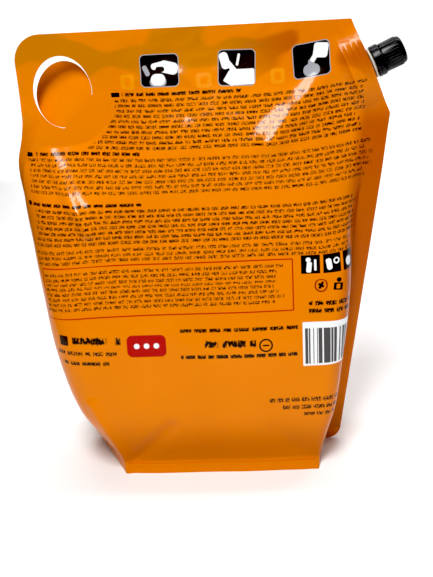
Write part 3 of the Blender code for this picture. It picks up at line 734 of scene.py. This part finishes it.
# Patches: centre, half size, corner radius in millimetres, turn in degrees, colour. All of them
# are generic pictures and fields: a bottle and a hand's place, a cut corner, a pouring drop.
PATCHES = [((-25, 263.4), (11.6, 9.6), 3.0, 0, GREY_INK), ((-25, 263.4), (11.1, 9.1), 2.6, 0, BLACK_INK),
           ((20.3, 263.0), (11.0, 10.5), 3.0, 2, GREY_INK),
           ((20.3, 263.0), (10.5, 10.0), 2.6, 2, BLACK_INK),
           ((63.8, 263.4), (10.9, 10.1), 3.0, -3, GREY_INK),
           ((63.8, 263.4), (10.4, 9.6), 2.6, -3, BLACK_INK),
           ((-26, 257.0), (4.9, 2.6), 2.2, 0, GREY_INK), ((-26, 258.2), (4.2, 3.4), 3.0, 0, WHITE_INK),
           ((-19.5, 265.0), (5.4, 3.4), 2.6, 14, WHITE_INK),
           ((-25.5, 266.4), (4.4, 1.8), 1.6, -12, WHITE_INK),
           ((-24.6, 264.2), (2.6, 1.5), 1.4, 0, BLACK_INK),
           ((-33.0, 263.6), (1.4, 3.2), 1.2, -24, GREY_INK),
           ((23.2, 257.6), (7.3, 4.6), 1.0, 0, WHITE_INK),
           ((16.8, 257.2), (3.2, 3.6), 0.6, 32, WHITE_INK),
           ((13.4, 267.4), (2.6, 4.8), 2.2, -16, WHITE_INK),
           ((17.4, 263.4), (1.5, 4.2), 1.3, -38, WHITE_INK),
           ((21.2, 267.6), (0.7, 3.4), 0.6, 12, WHITE_INK),
           ((63.8, 257.6), (4.8, 3.4), 3.2, 0, GREY_INK), ((63.8, 261.6), (1.9, 2.4), 1.7, 0, GREY_INK),
           ((69.2, 268.2), (4.2, 4.2), 1.6, 8, WHITE_INK),
           ((65.6, 264.8), (1.5, 3.0), 1.3, 34, WHITE_INK),
           ((-44.5, 257.4), (4.2, 4.6), 2.0, 0, "#e08a1e"),
           ((-44.5, 257.4), (1.8, 2.6), 1.2, 0, ORANGE_INK),
           ((1.0, 256.6), (4.6, 4.4), 2.0, 0, "#e08a1e"), ((1.0, 256.6), (2.0, 2.4), 1.2, 0, ORANGE_INK),
           ((44.0, 256.4), (4.2, 4.4), 2.0, 0, "#e08a1e"),
           ((44.0, 256.4), (1.8, 2.4), 1.2, 0, ORANGE_INK),
           ((-53, 249.9), (2.6, 1.4), 0.6, 0, BLACK_INK),
           ((-111.5, 214.5), (2.2, 1.4), 0.6, 0, BLACK_INK),
           ((-115.5, 184.2), (2.0, 1.4), 0.6, 0, BLACK_INK),
           ((-40.5, 95.0), (12.0, 7.0), 3.5, 0, RED_INK), ((-40.5, 95.0), (1.7, 1.7), 1.6, 0, WHITE_INK),
           ((-46.5, 95.0), (1.7, 1.7), 1.6, 0, WHITE_INK),
           ((-34.5, 95.0), (1.7, 1.7), 1.6, 0, WHITE_INK),


           ((59.5, 142.5), (5.6, 5.8), 0.4, 0, BLACK_INK),
           ((58.2, 145.3), (1.5, 1.5), 1.4, 0, WHITE_INK),
           ((58.6, 140.6), (1.5, 3.2), 0.9, 6, WHITE_INK),
           ((62.3, 142.0), (0.7, 3.6), 0.5, 0, WHITE_INK),
           ((72.6, 142.5), (5.6, 5.8), 0.4, 0, BLACK_INK),
           ((70.6, 142.0), (1.7, 3.6), 1.4, -10, WHITE_INK),
           ((75.4, 143.6), (2.1, 2.1), 2.0, 0, WHITE_INK),
           ((75.4, 143.6), (1.1, 1.1), 1.0, 0, BLACK_INK),
           ((85.8, 142.5), (5.6, 5.8), 0.4, 0, BLACK_INK),
           ((85.6, 141.4), (3.0, 2.6), 2.4, 0, WHITE_INK),
           ((65.5, 129.0), (3.9, 4.2), 3.9, 0, "#8e2a04"),
           ((65.5, 129.0), (3.0, 3.3), 3.0, 0, ORANGE_INK),
           ((65.5, 129.0), (0.8, 2.4), 0.6, 30, BLACK_INK),
           ((65.5, 129.0), (2.0, 0.7), 0.6, 30, BLACK_INK),
           ((76.6, 131.6), (1.6, 1.6), 1.5, 0, BLACK_INK),
           ((76.0, 127.6), (3.0, 2.2), 0.5, 8, BLACK_INK),
           ((76.0, 127.6), (1.2, 1.3), 0.4, 8, ORANGE_INK),
           ((31.8, 93.6), (4.2, 4.2), 4.2, 0, BLACK_INK), ((31.8, 93.6), (3.2, 3.2), 3.2, 0, ORANGE_INK),
           ((31.8, 93.6), (2.0, 0.5), 0.4, 0, BLACK_INK), ((-92.6, 98.2), (3.2, 3.2), 0.8, 0, TEXT_INK),

           ((73, 93.0), (19.0, 13.8), 0.5, 0, WHITE_INK)]
# The front panel's own patches, on the same terms.
FRONT_PATCHES = [((0, 205), (72, 26), 24.0, 0, "#f3e6cf"), ((0, 205), (68, 22), 20.0, 0, RED_INK),
                 ((-30, 205), (11, 11), 10.8, 0, WHITE_INK), ((0, 205), (11, 11), 10.8, 0, WHITE_INK),
                 ((30, 205), (11, 11), 10.8, 0, WHITE_INK),
                 ((0, 108), (46, 46), 45.5, 0, "#f6b43a"), ((0, 108), (38, 38), 37.6, 0, "#f08c12"),
                 ((0, 100), (17, 17), 16.8, 0, "#fbe3b0"), ((0, 116), (12, 12), 1.5, 45, "#fbe3b0"),
                 ((0, 34), (60, 5), 4.8, 0, "#f3e6cf")]
# Bold rows of plain strokes: left, right, top, pitch, seed, word length, in millimetres.
BOLD_ROWS = [(-86.5, -58, 102.4, 7.6, 21.0, 30), (-5, 26, 98.9, 7.4, 23.5, 13)]


# The print is shared out over zones of the film, each with a material of its own so that no
# shader grows too long: name, lowest and highest place up the film in millimetres.
BACK_ZONES = [("foot_print", -1000, 110), ("middle_print", 110, 188), ("top_print", 188, 1000)]


def film_material(name, bottom, end, small_print, patch, front=False):
    """Reverse-printed polyester laminate: deep orange ink under a clear glossy skin."""
    material, tree, shader = new_material(name)
    place = film_place(tree, front)
    axes = add_node(tree, "ShaderNodeSeparateXYZ", Vector=place)
    # The film was pulled in welding: printed lines climb to the right fold at the top of the
    # panel and fall to the left fold in its lower half.
    rightward = add_node(tree, "ShaderNodeMath", MINUS, i0=axes.outputs["X"], i1=20)
    right_part = add_node(tree, "ShaderNodeMath", LARGER, i0=rightward.outputs[0], i1=0)
    right_square = add_node(tree, "ShaderNodeMath", {"operation": "POWER"},
                            i0=right_part.outputs[0], i1=2)
    right_share = add_node(tree, "ShaderNodeMapRange", i0=axes.outputs["Y"], i1=178, i2=245,
                           i3=0.0, i4=-0.00105)
    lifted = add_node(tree, "ShaderNodeMath", TIMES_PLUS,
                      i0=right_square.outputs[0], i1=right_share.outputs[0], i2=axes.outputs["Y"])
    leftward = add_node(tree, "ShaderNodeMath", MINUS, i0=-30, i1=axes.outputs["X"])
    left_part = add_node(tree, "ShaderNodeMath", LARGER, i0=leftward.outputs[0], i1=0)
    left_square = add_node(tree, "ShaderNodeMath", {"operation": "POWER"}, i0=left_part.outputs[0], i1=2)
    from_top = add_node(tree, "ShaderNodeMapRange", i0=axes.outputs["Y"], i1=178, i2=146,
                        i3=0.0, i4=0.00078)
    from_foot = add_node(tree, "ShaderNodeMapRange", i0=axes.outputs["Y"], i1=104, i2=112, i3=0.0, i4=1.0)
    left_share = add_node(tree, "ShaderNodeMath", TIMES, i0=from_top.outputs[0], i1=from_foot.outputs[0])
    warped = add_node(tree, "ShaderNodeMath", TIMES_PLUS,
                      i0=left_square.outputs[0], i1=left_share.outputs[0], i2=lifted.outputs[0])
    text_place = add_node(tree, "ShaderNodeCombineXYZ", X=axes.outputs["X"],
                          Y=warped.outputs[0]).outputs[0]
    # Solid orange ink, a little deeper where the ink film is thick.
    mottle = add_node(tree, "ShaderNodeTexNoise", FLAT, Vector=place, Scale=0.02, Detail=2.0)
    colour = add_node(tree, "ShaderNodeMix", COLOURS, i0=mottle.outputs[0],
                      i6=linear("#e58004"), i7=linear("#dd7a02")).outputs[2]
    # Darker olive and brown clouds along the top band are painted reflection and shade of its crumpled
    # seal, deepest to the right.
    clouds = add_node(tree, "ShaderNodeTexNoise", FLAT,
                      Vector=add_node(tree, "ShaderNodeVectorMath", TIMES,
                                      i0=place, i1=(0.7, 1.0, 0)).outputs[0],
                      Scale=0.034, Detail=1.0, Roughness=0.4)
    cloud_edge = add_node(tree, "ShaderNodeMapRange", SMOOTH,
                          i0=clouds.outputs[0], i1=0.44, i2=0.52, i3=0.25, i4=0.85)
    band = add_node(tree, "ShaderNodeMapRange", SMOOTH,
                    i0=axes.outputs["Y"], i1=246, i2=268, i3=0.0, i4=1.0)
    painted_reflection_mask = add_node(tree, "ShaderNodeMath", TIMES, i0=cloud_edge.outputs[0], i1=band.outputs[0])
    painted_reflection_tint = add_node(tree, "ShaderNodeMix", COLOURS, i6=linear("#b87204"),
                          i7=linear("#a84d02"),
                          i0=add_node(tree, "ShaderNodeMapRange", SMOOTH,
                                      i0=axes.outputs["X"], i1=10, i2=60, i3=0.0,
                                      i4=1.0).outputs[0]).outputs[2]
    colour = add_node(tree, "ShaderNodeMix", COLOURS, i0=painted_reflection_mask.outputs[0],
                      i6=colour, i7=painted_reflection_tint).outputs[2]
    # The right seal and a strip of panel inside it are darker: partly the welds' own deeper tone, their
    # milky inner layers melted clear, and partly painted shade of the flank turning away from the light,
    # strongest at mid height.
    solid = add_node(tree, "ShaderNodeSeparateXYZ",
                     Vector=add_node(tree, "ShaderNodeTexCoord").outputs["Object"])
    slope = (SHOULDER[0] - RIGHT_FOOT_X) / SHOULDER[1]
    edge_x = add_node(tree, "ShaderNodeMath", TIMES_PLUS,
                      i0=solid.outputs["Z"], i1=slope, i2=RIGHT_FOOT_X)
    inward = add_node(tree, "ShaderNodeMath", MINUS, i0=edge_x.outputs[0], i1=solid.outputs["X"])
    margin = add_node(tree, "ShaderNodeMapRange", SMOOTH,
                      i0=inward.outputs[0], i1=0.022, i2=0.013, i3=0.0, i4=1.0)
    below = add_node(tree, "ShaderNodeMapRange", SMOOTH,
                     i0=solid.outputs["Z"], i1=0.238, i2=0.210, i3=0.0, i4=0.9)
    rising = add_node(tree, "ShaderNodeMapRange", SMOOTH,
                      i0=solid.outputs["Z"], i1=0.060, i2=0.135, i3=0.30, i4=1.0)
    strength = add_node(tree, "ShaderNodeMath", TIMES, i0=rising.outputs[0], i1=below.outputs[0])
    seal_tone_and_painted_shade = add_node(tree, "ShaderNodeMath", TIMES, i0=margin.outputs[0], i1=strength.outputs[0])
    colour = print_layer(tree, colour, seal_tone_and_painted_shade.outputs[0], "#ab4f04")
    # Painted shade: the film is darkened towards the foot, where it faces down, and less on the rim's seal
    # band.
    low = add_node(tree, "ShaderNodeMapRange", SMOOTH,
                   i0=axes.outputs["Y"], i1=44, i2=14, i3=0.0, i4=0.65)
    above_rim = add_node(tree, "ShaderNodeMapRange", SMOOTH,
                         i0=axes.outputs["Y"], i1=6.5, i2=9.5, i3=0.25, i4=1.0)
    foot = add_node(tree, "ShaderNodeMath", TIMES, i0=low.outputs[0], i1=above_rim.outputs[0])
    colour = print_layer(tree, colour, foot.outputs[0], "#ad5803")
    for left, right, top, rows, pitch, lean, seed, weight, word in TEXT_ROWS:
        if front or not bottom < top <= end:
            continue
        block = add_node(tree, "ShaderNodeGroup", {"node_tree": small_print}, Place=text_place,
                         Left=left, Right=right, Top=top, Rows=rows, Pitch=pitch, Lean=lean,
                         Seed=seed, Weight=weight, Word=word)
        colour = print_layer(tree, colour, block.outputs[0], BLACK_INK if weight > 0.1 else TEXT_INK)
    for left, right, top, pitch, seed, word in BOLD_ROWS:
        if front or not bottom < top <= end:
            continue
        block = add_node(tree, "ShaderNodeGroup", {"node_tree": small_print},
                         Place=add_node(tree, "ShaderNodeVectorMath", TIMES,
                                        i0=place, i1=(0.42, 0.42, 0)).outputs[0],
                         Left=left * 0.42, Right=right * 0.42 + 3, Top=top * 0.42, Rows=1,
                         Pitch=pitch * 0.42, Seed=seed, Weight=0.14, Word=word * 0.42)
        colour = print_layer(tree, colour, block.outputs[0], BLACK_INK)
    for centre, half, corner, turn, ink in PATCHES:
        if front or not bottom < centre[1] <= end:
            continue
        field = add_node(tree, "ShaderNodeGroup", {"node_tree": patch}, Place=text_place,
                         Centre=(*centre, 0), Half=(*half, 0), Corner=corner,
                         Turn=math.radians(turn))
        colour = print_layer(tree, colour, field.outputs[0], ink)
    if not front and bottom < 130 <= end:
        # Warning panel's frame: a thin red line, drawn as a large patch less a slightly smaller one.
        outer = add_node(tree, "ShaderNodeGroup", {"node_tree": patch}, Place=text_place,
                         Centre=(-28.5, 130.4, 0), Half=(77.8, 16.3, 0), Corner=1.0)
        inner = add_node(tree, "ShaderNodeGroup", {"node_tree": patch}, Place=text_place,
                         Centre=(-28.5, 130.4, 0), Half=(77.0, 15.5, 0), Corner=0.4)
        frame_line = add_node(tree, "ShaderNodeMath", MINUS, i0=outer.outputs[0], i1=inner.outputs[0])
        colour = print_layer(tree, colour, frame_line.outputs[0], LINE_INK)
    if not front and bottom < 92 <= end:
        # Plain upright bars of random width on the white field; they encode nothing.
        bars = add_node(tree, "ShaderNodeTexWhiteNoise", {"noise_dimensions": "1D"},
                        W=add_node(tree, "ShaderNodeMath", {"operation": "SNAP"},
                                   i0=axes.outputs["X"], i1=0.45).outputs[0])
        dark = add_node(tree, "ShaderNodeMath", {"operation": "GREATER_THAN"},
                        i0=bars.outputs["Value"], i1=0.52)
        bar_field = add_node(tree, "ShaderNodeGroup", {"node_tree": patch}, Place=text_place,
                             Centre=(73.4, 91.7, 0), Half=(18.0, 11.2, 0), Corner=0.1)
        bar_mask = add_node(tree, "ShaderNodeMath", TIMES, i0=dark.outputs[0], i1=bar_field.outputs[0])
        colour = print_layer(tree, colour, bar_mask.outputs[0], BLACK_INK)
    # The front panel is not known: broad plain fields and a drop in like colours.
    for centre, half, corner, turn, ink in FRONT_PATCHES if front else ():
        field = add_node(tree, "ShaderNodeGroup", {"node_tree": patch}, Place=place,
                         Centre=(*centre, 0), Half=(*half, 0), Corner=corner,
                         Turn=math.radians(turn))
        colour = print_layer(tree, colour, field.outputs[0], ink)
    tree.links.new(colour, shader.inputs["Base Color"])
    # Thin film over liquid is never quite flat: a low, slow waviness breaks up its reflections.
    waves = add_node(tree, "ShaderNodeTexNoise", Scale=75.0, Detail=3.0, Roughness=0.5,
                     Vector=add_node(tree, "ShaderNodeTexCoord").outputs["Object"])
    wavy = add_node(tree, "ShaderNodeBump", Strength=0.45, Distance=0.0012, Height=waves.outputs[0])
    # The boat's weld ribs press through the film along the slanted corner.
    from_spout = add_node(tree, "ShaderNodeVectorMath", MINUS, i1=SPOUT_ORIGIN,
                          i0=add_node(tree, "ShaderNodeTexCoord").outputs["Object"])
    outward = add_node(tree, "ShaderNodeVectorMath", {"operation": "DOT_PRODUCT"},
                       i0=from_spout.outputs[0], i1=SPOUT_AXIS)
    sideways = add_node(tree, "ShaderNodeVectorMath", {"operation": "DOT_PRODUCT"},
                        i0=from_spout.outputs[0], i1=SLANT_DOWN)
    phase = add_node(tree, "ShaderNodeMath", TIMES,
                     i0=outward.outputs["Value"], i1=2 * math.pi * 4 / BOAT_DEPTH)
    rib = add_node(tree, "ShaderNodeMath", {"operation": "COSINE"}, i0=phase.outputs[0])
    near = add_node(tree, "ShaderNodeMapRange", SMOOTH,
                    i0=outward.outputs["Value"], i1=-BOAT_DEPTH - 0.001, i2=-BOAT_DEPTH + 0.001,
                    i3=0.0, i4=1.0)
    spread = add_node(tree, "ShaderNodeMath", SIZE_OF, i0=sideways.outputs["Value"])
    within = add_node(tree, "ShaderNodeMapRange", SMOOTH,
                      i0=spread.outputs[0], i1=0.012, i2=0.017, i3=1.0, i4=0.0)
    pressed = add_node(tree, "ShaderNodeMath", TIMES, i0=rib.outputs[0], i1=near.outputs[0])
    local = add_node(tree, "ShaderNodeMath", TIMES, i0=pressed.outputs[0], i1=within.outputs[0])
    relief = add_node(tree, "ShaderNodeBump", Strength=0.7, Distance=0.00025,
                      Height=local.outputs[0], Normal=wavy.outputs[0])
    tree.links.new(relief.outputs[0], shader.inputs["Normal"])
    tree.links.new(relief.outputs[0], shader.inputs["Coat Normal"])
    shader.inputs["Roughness"].default_value = 0.34
    shader.inputs["Specular IOR Level"].default_value = 0.08
    shader.inputs["Coat Weight"].default_value = 0.32
    shader.inputs["Coat Roughness"].default_value = 0.09
    return material


# ---------------------------------------------------------------- spout, band and cap
def turned(profile):
    """Turn a closed (radius, height) profile about the spout's axis, in its own frame."""
    data = bmesh.new()
    loops = []
    for i in range(ROUND_STEPS):
        angle = 2 * math.pi * i / ROUND_STEPS
        loops.append([data.verts.new((radius * math.cos(angle), radius * math.sin(angle), height))
                      for radius, height in profile])
    loops.append(loops[0])
    for low, high in zip(loops, loops[1:]):
        band_of_faces(data, low, high)
    return finished(data, "turned")


def fillet(radius, centre_radius, centre_height, start, end, steps=8):
    """Points of an arc in a (radius, height) profile, angles in degrees."""
    points = []
    for i in range(steps + 1):
        angle = math.radians(start + (end - start) * i / steps)
        points.append((centre_radius + radius * math.cos(angle),
                       centre_height + radius * math.sin(angle)))
    return points


def moulding(name, mesh, material, body, node, sharp=35):
    """Stand a mesh of the spout's own frame on the pack as one finished moulded piece."""
    mesh.transform(SPOUT_PLACE)
    mesh.materials.clear()
    piece = make_object(name, mesh, material)
    mesh.shade_smooth()
    mesh.set_sharp_from_angle(angle=math.radians(sharp))
    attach(piece, body)
    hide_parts(node)
    return piece


def geometry_tree(name, inputs):
    """Geometry Nodes tree with named inputs and one geometry output."""
    tree = bpy.data.node_groups.new(name, "GeometryNodeTree")
    for socket, kind in inputs.items():
        tree.interface.new_socket(socket, in_out="INPUT", socket_type=f"NodeSocket{kind}")
    tree.interface.new_socket("Geometry", in_out="OUTPUT", socket_type="NodeSocketGeometry")
    return tree, tree.nodes.new("NodeGroupInput").outputs, tree.nodes.new("NodeGroupOutput").inputs


def grown(name, tree, values):
    """Mesh that a Geometry Nodes tree makes with the given inputs."""
    carrier = make_object(f"{name}_carrier", bpy.data.meshes.new(f"{name}_carrier"))
    modifier = carrier.modifiers.new(name, "NODES")
    modifier.node_group = tree
    for item in tree.interface.items_tree:
        if item.in_out == "INPUT":
            modifier[item.identifier] = values[item.name]
    made = settled(carrier, name)
    mesh = made.data.copy()
    bpy.data.objects.remove(made)
    return mesh


def ribs_tree():
    """Equal upright bars in a circle around the axis."""
    tree, given, result = geometry_tree("bars_in_a_circle", {
        "Count": "Int", "Circle": "Float", "Thickness": "Float", "Length": "Float",
        "Middle": "Float", "Material": "Material"})
    circle = add_node(tree, "GeometryNodeMeshCircle", Vertices=given["Count"], Radius=given["Circle"])
    bar = add_node(tree, "GeometryNodeMeshCylinder", {"fill_type": "NGON"}, Vertices=8,
                   Radius=given["Thickness"], Depth=given["Length"])
    bars = add_node(tree, "GeometryNodeInstanceOnPoints", Points=circle.outputs[0],
                    Instance=bar.outputs[0])
    real = add_node(tree, "GeometryNodeRealizeInstances", Geometry=bars.outputs[0])
    lift = add_node(tree, "ShaderNodeCombineXYZ", Z=given["Middle"])
    placed = add_node(tree, "GeometryNodeTransform", Geometry=real.outputs[0],
                      Translation=lift.outputs[0])
    covered = add_node(tree, "GeometryNodeSetMaterial", Geometry=placed.outputs[0],
                       Material=given["Material"])
    tree.links.new(covered.outputs[0], result[0])
    return tree


def thread_tree():
    """A screw thread: a round bead swept along a spiral."""
    tree, given, result = geometry_tree("screw_thread", {
        "Turns": "Float", "Reach": "Float", "Rise": "Float", "Bead": "Float", "Start": "Float",
        "Material": "Material"})
    path = add_node(tree, "GeometryNodeCurveSpiral", Resolution=48, Rotations=given["Turns"],
                    Height=given["Rise"])
    tree.links.new(given["Reach"], path.inputs["Start Radius"])
    tree.links.new(given["Reach"], path.inputs["End Radius"])
    bead = add_node(tree, "GeometryNodeCurvePrimitiveCircle", Resolution=8, Radius=given["Bead"])
    swept = add_node(tree, "GeometryNodeCurveToMesh", Curve=path.outputs[0],
                     Profile_Curve=bead.outputs[0], Fill_Caps=True)
    lift = add_node(tree, "ShaderNodeCombineXYZ", Z=given["Start"])
    placed = add_node(tree, "GeometryNodeTransform", Geometry=swept.outputs[0],
                      Translation=lift.outputs[0])
    covered = add_node(tree, "GeometryNodeSetMaterial", Geometry=placed.outputs[0],
                       Material=given["Material"])
    tree.links.new(covered.outputs[0], result[0])
    return tree


def boat_mesh():
    """Welding boat between the films: a pointed oval with four raised weld ribs."""
    data = bmesh.new()
    loops = []
    rib = BOAT_DEPTH / 4
    for step in range(4):
        low = -BOAT_DEPTH + rib * step
        for height, cut in ((low, 0.0), (low + rib * 0.62, 0.0), (low + rib * 0.70, 0.0005),
                            (low + rib * 0.92, 0.0005)):
            points = []
            for side in (1, -1):
                for i in range(37):
                    t = -1 + i / 18
                    width = max((BOAT_HALF_WIDTH - cut) * (1 - t**2), 0.0006)
                    points.append((side * t * (BOAT_HALF_LENGTH - cut), side * width,
                                   min(height, -0.0002)))
            loops.append([data.verts.new(point) for point in points])
    for low, high in zip(loops, loops[1:]):
        for i in range(len(low)):
            j = (i + 1) % len(low)
            data.faces.new((low[i], low[j], high[j], high[i]))
    data.faces.new(loops[0][::-1])
    data.faces.new(loops[-1])
    return finished(data, "boat")


def natural_plastic():
    """Uncoloured polyethylene of the spout: milky, waxy, lets a little light in."""
    material, _, shader = new_material("natural_polyethylene")
    shader.inputs["Base Color"].default_value = linear("#c9c3b6")
    shader.inputs["Roughness"].default_value = 0.42
    shader.inputs["Subsurface Weight"].default_value = 0.15
    shader.inputs["Subsurface Scale"].default_value = 0.0015
    return material


def black_plastic(name, roughness):
    """Black moulded polypropylene: deep black, glossy, with the faint haze of a tool's polish."""
    material, tree, shader = new_material(name)
    haze = add_node(tree, "ShaderNodeTexNoise", Scale=900.0, Detail=2.0,
                    Vector=add_node(tree, "ShaderNodeTexCoord").outputs["Object"])
    spread = add_node(tree, "ShaderNodeMapRange", i0=haze.outputs[0], i1=0.3, i2=0.7,
                      i3=roughness - 0.04, i4=roughness + 0.06)
    tree.links.new(spread.outputs[0], shader.inputs["Roughness"])
    shader.inputs["Base Color"].default_value = linear("#070608")
    shader.inputs["Specular IOR Level"].default_value = 0.2
    return material


def build_spout(material):
    """Boat, collar, neck, bead and thread; they stay with the pack when the cap comes off."""
    moulding("spout_boat", boat_mesh(), material, "pack", "spout", 25)
    r = NECK_RADIUS
    profile = [(BORE_RADIUS, NECK_ROOT), (BORE_RADIUS + BORE_WALL, NECK_ROOT),
               (BORE_RADIUS + BORE_WALL, 0.0003), (0.0084, 0.0006)]
    profile += fillet(0.0005, COLLAR_RADIUS, COLLAR_MIDDLE, -70, 70)
    profile += [(r + 0.0006, 0.0017), (r, 0.0020), (r, 0.0054)]
    profile += fillet(BEAD_ROUNDING, r + 0.00033, BEAD_MIDDLE, -80, 80)
    profile += [(r, 0.0067), (r, NECK_TOP - 0.0006)]
    profile += fillet(0.0005, r - 0.0005, NECK_TOP - 0.0005, 0, 90)
    profile += [(BORE_RADIUS + 0.0003, NECK_TOP), (BORE_RADIUS, NECK_TOP - 0.0003)]
    moulding("spout_neck", turned(profile), material, "pack", "spout")
    thread = grown("spout_thread", thread_tree(), {
        "Turns": THREAD_TURNS, "Reach": r + 0.00005, "Rise": THREAD_RISE, "Bead": THREAD_BEAD,
        "Start": THREAD_START, "Material": material})
    moulding("spout_thread", thread, material, "pack", "spout", 60)


def build_band(material):
    """Tamper band with the stubs of its break-off bridges."""
    inner = NECK_RADIUS + BAND_CLEARANCE
    profile = [(inner, BAND_BOTTOM)]
    profile += fillet(0.0005, BAND_RADIUS - 0.0005, BAND_BOTTOM + 0.0005, -90, 0)
    profile += fillet(0.0006, BAND_RADIUS - 0.0006, BAND_TOP - 0.0006, 0, 90)
    profile += [(inner, BAND_TOP)]
    moulding("band_ring", turned(profile), material, "band", "tamper_band")
    stubs = grown("band_bridges", ribs_tree(), {
        "Count": BRIDGES, "Circle": BRIDGE_CIRCLE, "Thickness": BRIDGE_THICKNESS,
        "Length": BRIDGE_LENGTH, "Middle": BAND_TOP + 0.0001, "Material": material})
    moulding("band_bridges", stubs, material, "band", "tamper_band")


def build_cap(material):
    """Closed cap with rounded end, grip bars outside and a sealing plug inside."""
    inner = NECK_RADIUS + CAP_CLEARANCE
    plug = BORE_RADIUS - PLUG_CLEARANCE
    profile = [(inner, CAP_BOTTOM)]
    profile += fillet(0.0003, CAP_RADIUS - 0.0003, CAP_BOTTOM + 0.0003, -90, 0, 4)
    profile += [(CAP_RADIUS, 0.0084), (CAP_RADIUS - 0.0002, 0.0174)]
    profile += fillet(CAP_ROUNDING, CAP_RADIUS - CAP_ROUNDING - 0.0004, CAP_TOP - CAP_ROUNDING, 0, 90, 12)
    profile += [(0.0040, CAP_TOP), (0.0036, CAP_TOP - 0.0002), (0.0, CAP_TOP - 0.0002),
                (0.0, CAP_TOP - 0.0020), (plug - PLUG_WALL, CAP_TOP - 0.0020),
                (plug - PLUG_WALL, PLUG_TIP), (plug - 0.0002, PLUG_TIP), (plug, 0.0154),
                (plug, NECK_TOP + 0.0004), (inner, NECK_TOP + 0.0004)]
    mesh = turned(profile)
    data = bmesh.new()
    data.from_mesh(mesh)
    bmesh.ops.remove_doubles(data, verts=data.verts, dist=0.000001)
    bmesh.ops.recalc_face_normals(data, faces=data.faces)
    data.to_mesh(mesh)
    data.free()
    moulding("cap_shell", mesh, material, "cap", "cap")
    bars = grown("cap_grip", ribs_tree(), {
        "Count": GRIP_BARS, "Circle": CAP_RADIUS - 0.0002, "Thickness": GRIP_THICKNESS,
        "Length": GRIP_LENGTH, "Middle": GRIP_MIDDLE, "Material": material})
    moulding("cap_grip", bars, material, "cap", "cap", 60)


# ---------------------------------------------------------------- stage, light and camera
def area_light(name, place, aim, size, power, colour="#ffffff"):
    data = bpy.data.lights.new(name, "AREA")
    data.shape = "RECTANGLE"
    data.size, data.size_y = size
    data.energy = power
    data.color = linear(colour)[:3]
    obj = bpy.data.objects.new(name, data)
    bpy.context.scene.collection.objects.link(obj)
    obj.location = place
    obj.rotation_euler = (Vector(aim) - Vector(place)).to_track_quat("-Z", "Y").to_euler()


def matt_card(name, colour):
    """Painted studio card: even and matt, so that it shows no reflections."""
    material, _, shader = new_material(name)
    shader.inputs["Base Color"].default_value = linear(colour)
    shader.inputs["Roughness"].default_value = 0.9
    return material


def build_stage():
    """White sweep under and behind the pack."""
    data = bmesh.new()
    reach, bend_start, rise, top, steps = 2.4, 0.9, 0.8, 2.6, 12
    profile = [(-reach, 0.0), (bend_start, 0.0)]
    for i in range(1, steps + 1):
        angle = math.pi / 2 * i / steps
        profile.append((bend_start + rise * math.sin(angle) * 0.9, rise * (1 - math.cos(angle))))
    profile.append((profile[-1][0], top))
    rows = [[data.verts.new((x, y, z)) for y, z in profile] for x in (-reach, reach)]
    for i in range(len(profile) - 1):
        data.faces.new((rows[0][i], rows[1][i], rows[1][i + 1], rows[0][i + 1]))
    mesh = finished(data, "white_sweep")
    mesh.shade_smooth()
    make_object("white_sweep", mesh, matt_card("matt_white_paper", "#fbfbfb"))


def build_card():
    """Dark card on the left, out of sight: it deepens the pouch's left flank as in a studio."""
    data = bmesh.new()
    corners = [(-0.42, y, z) for y, z in ((-0.7, 0.0), (0.9, 0.0), (0.9, 0.9), (-0.7, 0.9))]
    data.faces.new([data.verts.new(corner) for corner in corners])
    card = make_object("dark_card", finished(data, "dark_card"), matt_card("black_card", "#151515"))
    card.visible_camera = False


def build_lights():
    """Large soft box above and in front, a light on the sweep behind and an even white surround."""
    world = bpy.data.worlds.new("studio")
    bpy.context.scene.world = world
    world.use_nodes = True
    world.node_tree.nodes["Background"].inputs["Color"].default_value = linear("#ffffff")
    world.node_tree.nodes["Background"].inputs["Strength"].default_value = 0.21
    area_light("key", (-0.12, -0.60, 1.08), (0, 0, 0.13), (0.30, 0.50), 11.0)
    area_light("backdrop", (0, 0.45, 2.0), (0, 1.9, 0.6), (2.4, 0.5), 34)


def build_camera():
    """Camera in front of the printed panel, a little to its right, looking down."""
    azimuth, elevation, roll = (math.radians(a) for a in (2.775, 20.354, 3.018))
    distance = 0.50016
    target = Vector((0.001846, 0, 0.112069))
    back = Vector((math.sin(azimuth) * math.cos(elevation),
                   -math.cos(azimuth) * math.cos(elevation), math.sin(elevation)))
    data = bpy.data.cameras.new("camera")
    data.sensor_width = 36
    data.lens = 48.607
    data.clip_start = 0.02
    camera = bpy.data.objects.new("camera", data)
    bpy.context.scene.collection.objects.link(camera)
    look = (-back).to_track_quat("-Z", "Y").to_matrix()
    camera.matrix_world = Matrix.Translation(target + back * distance) @ (
        look @ Matrix.Rotation(-roll, 3, "Z")).to_4x4()
    bpy.context.scene.camera = camera


view = bpy.context.scene.view_settings
view.view_transform = "Standard"
view.use_curve_mapping = True
view.curve_mapping.black_level = (0.018, 0.018, 0.018)
view.curve_mapping.white_level = (0.90, 0.90, 0.90)
view.curve_mapping.update()
build_camera()
build_stage()
build_card()
build_lights()
build_film()
build_spout(natural_plastic())
build_band(black_plastic("band_black_plastic", 0.26))
build_cap(black_plastic("cap_black_plastic", 0.18))
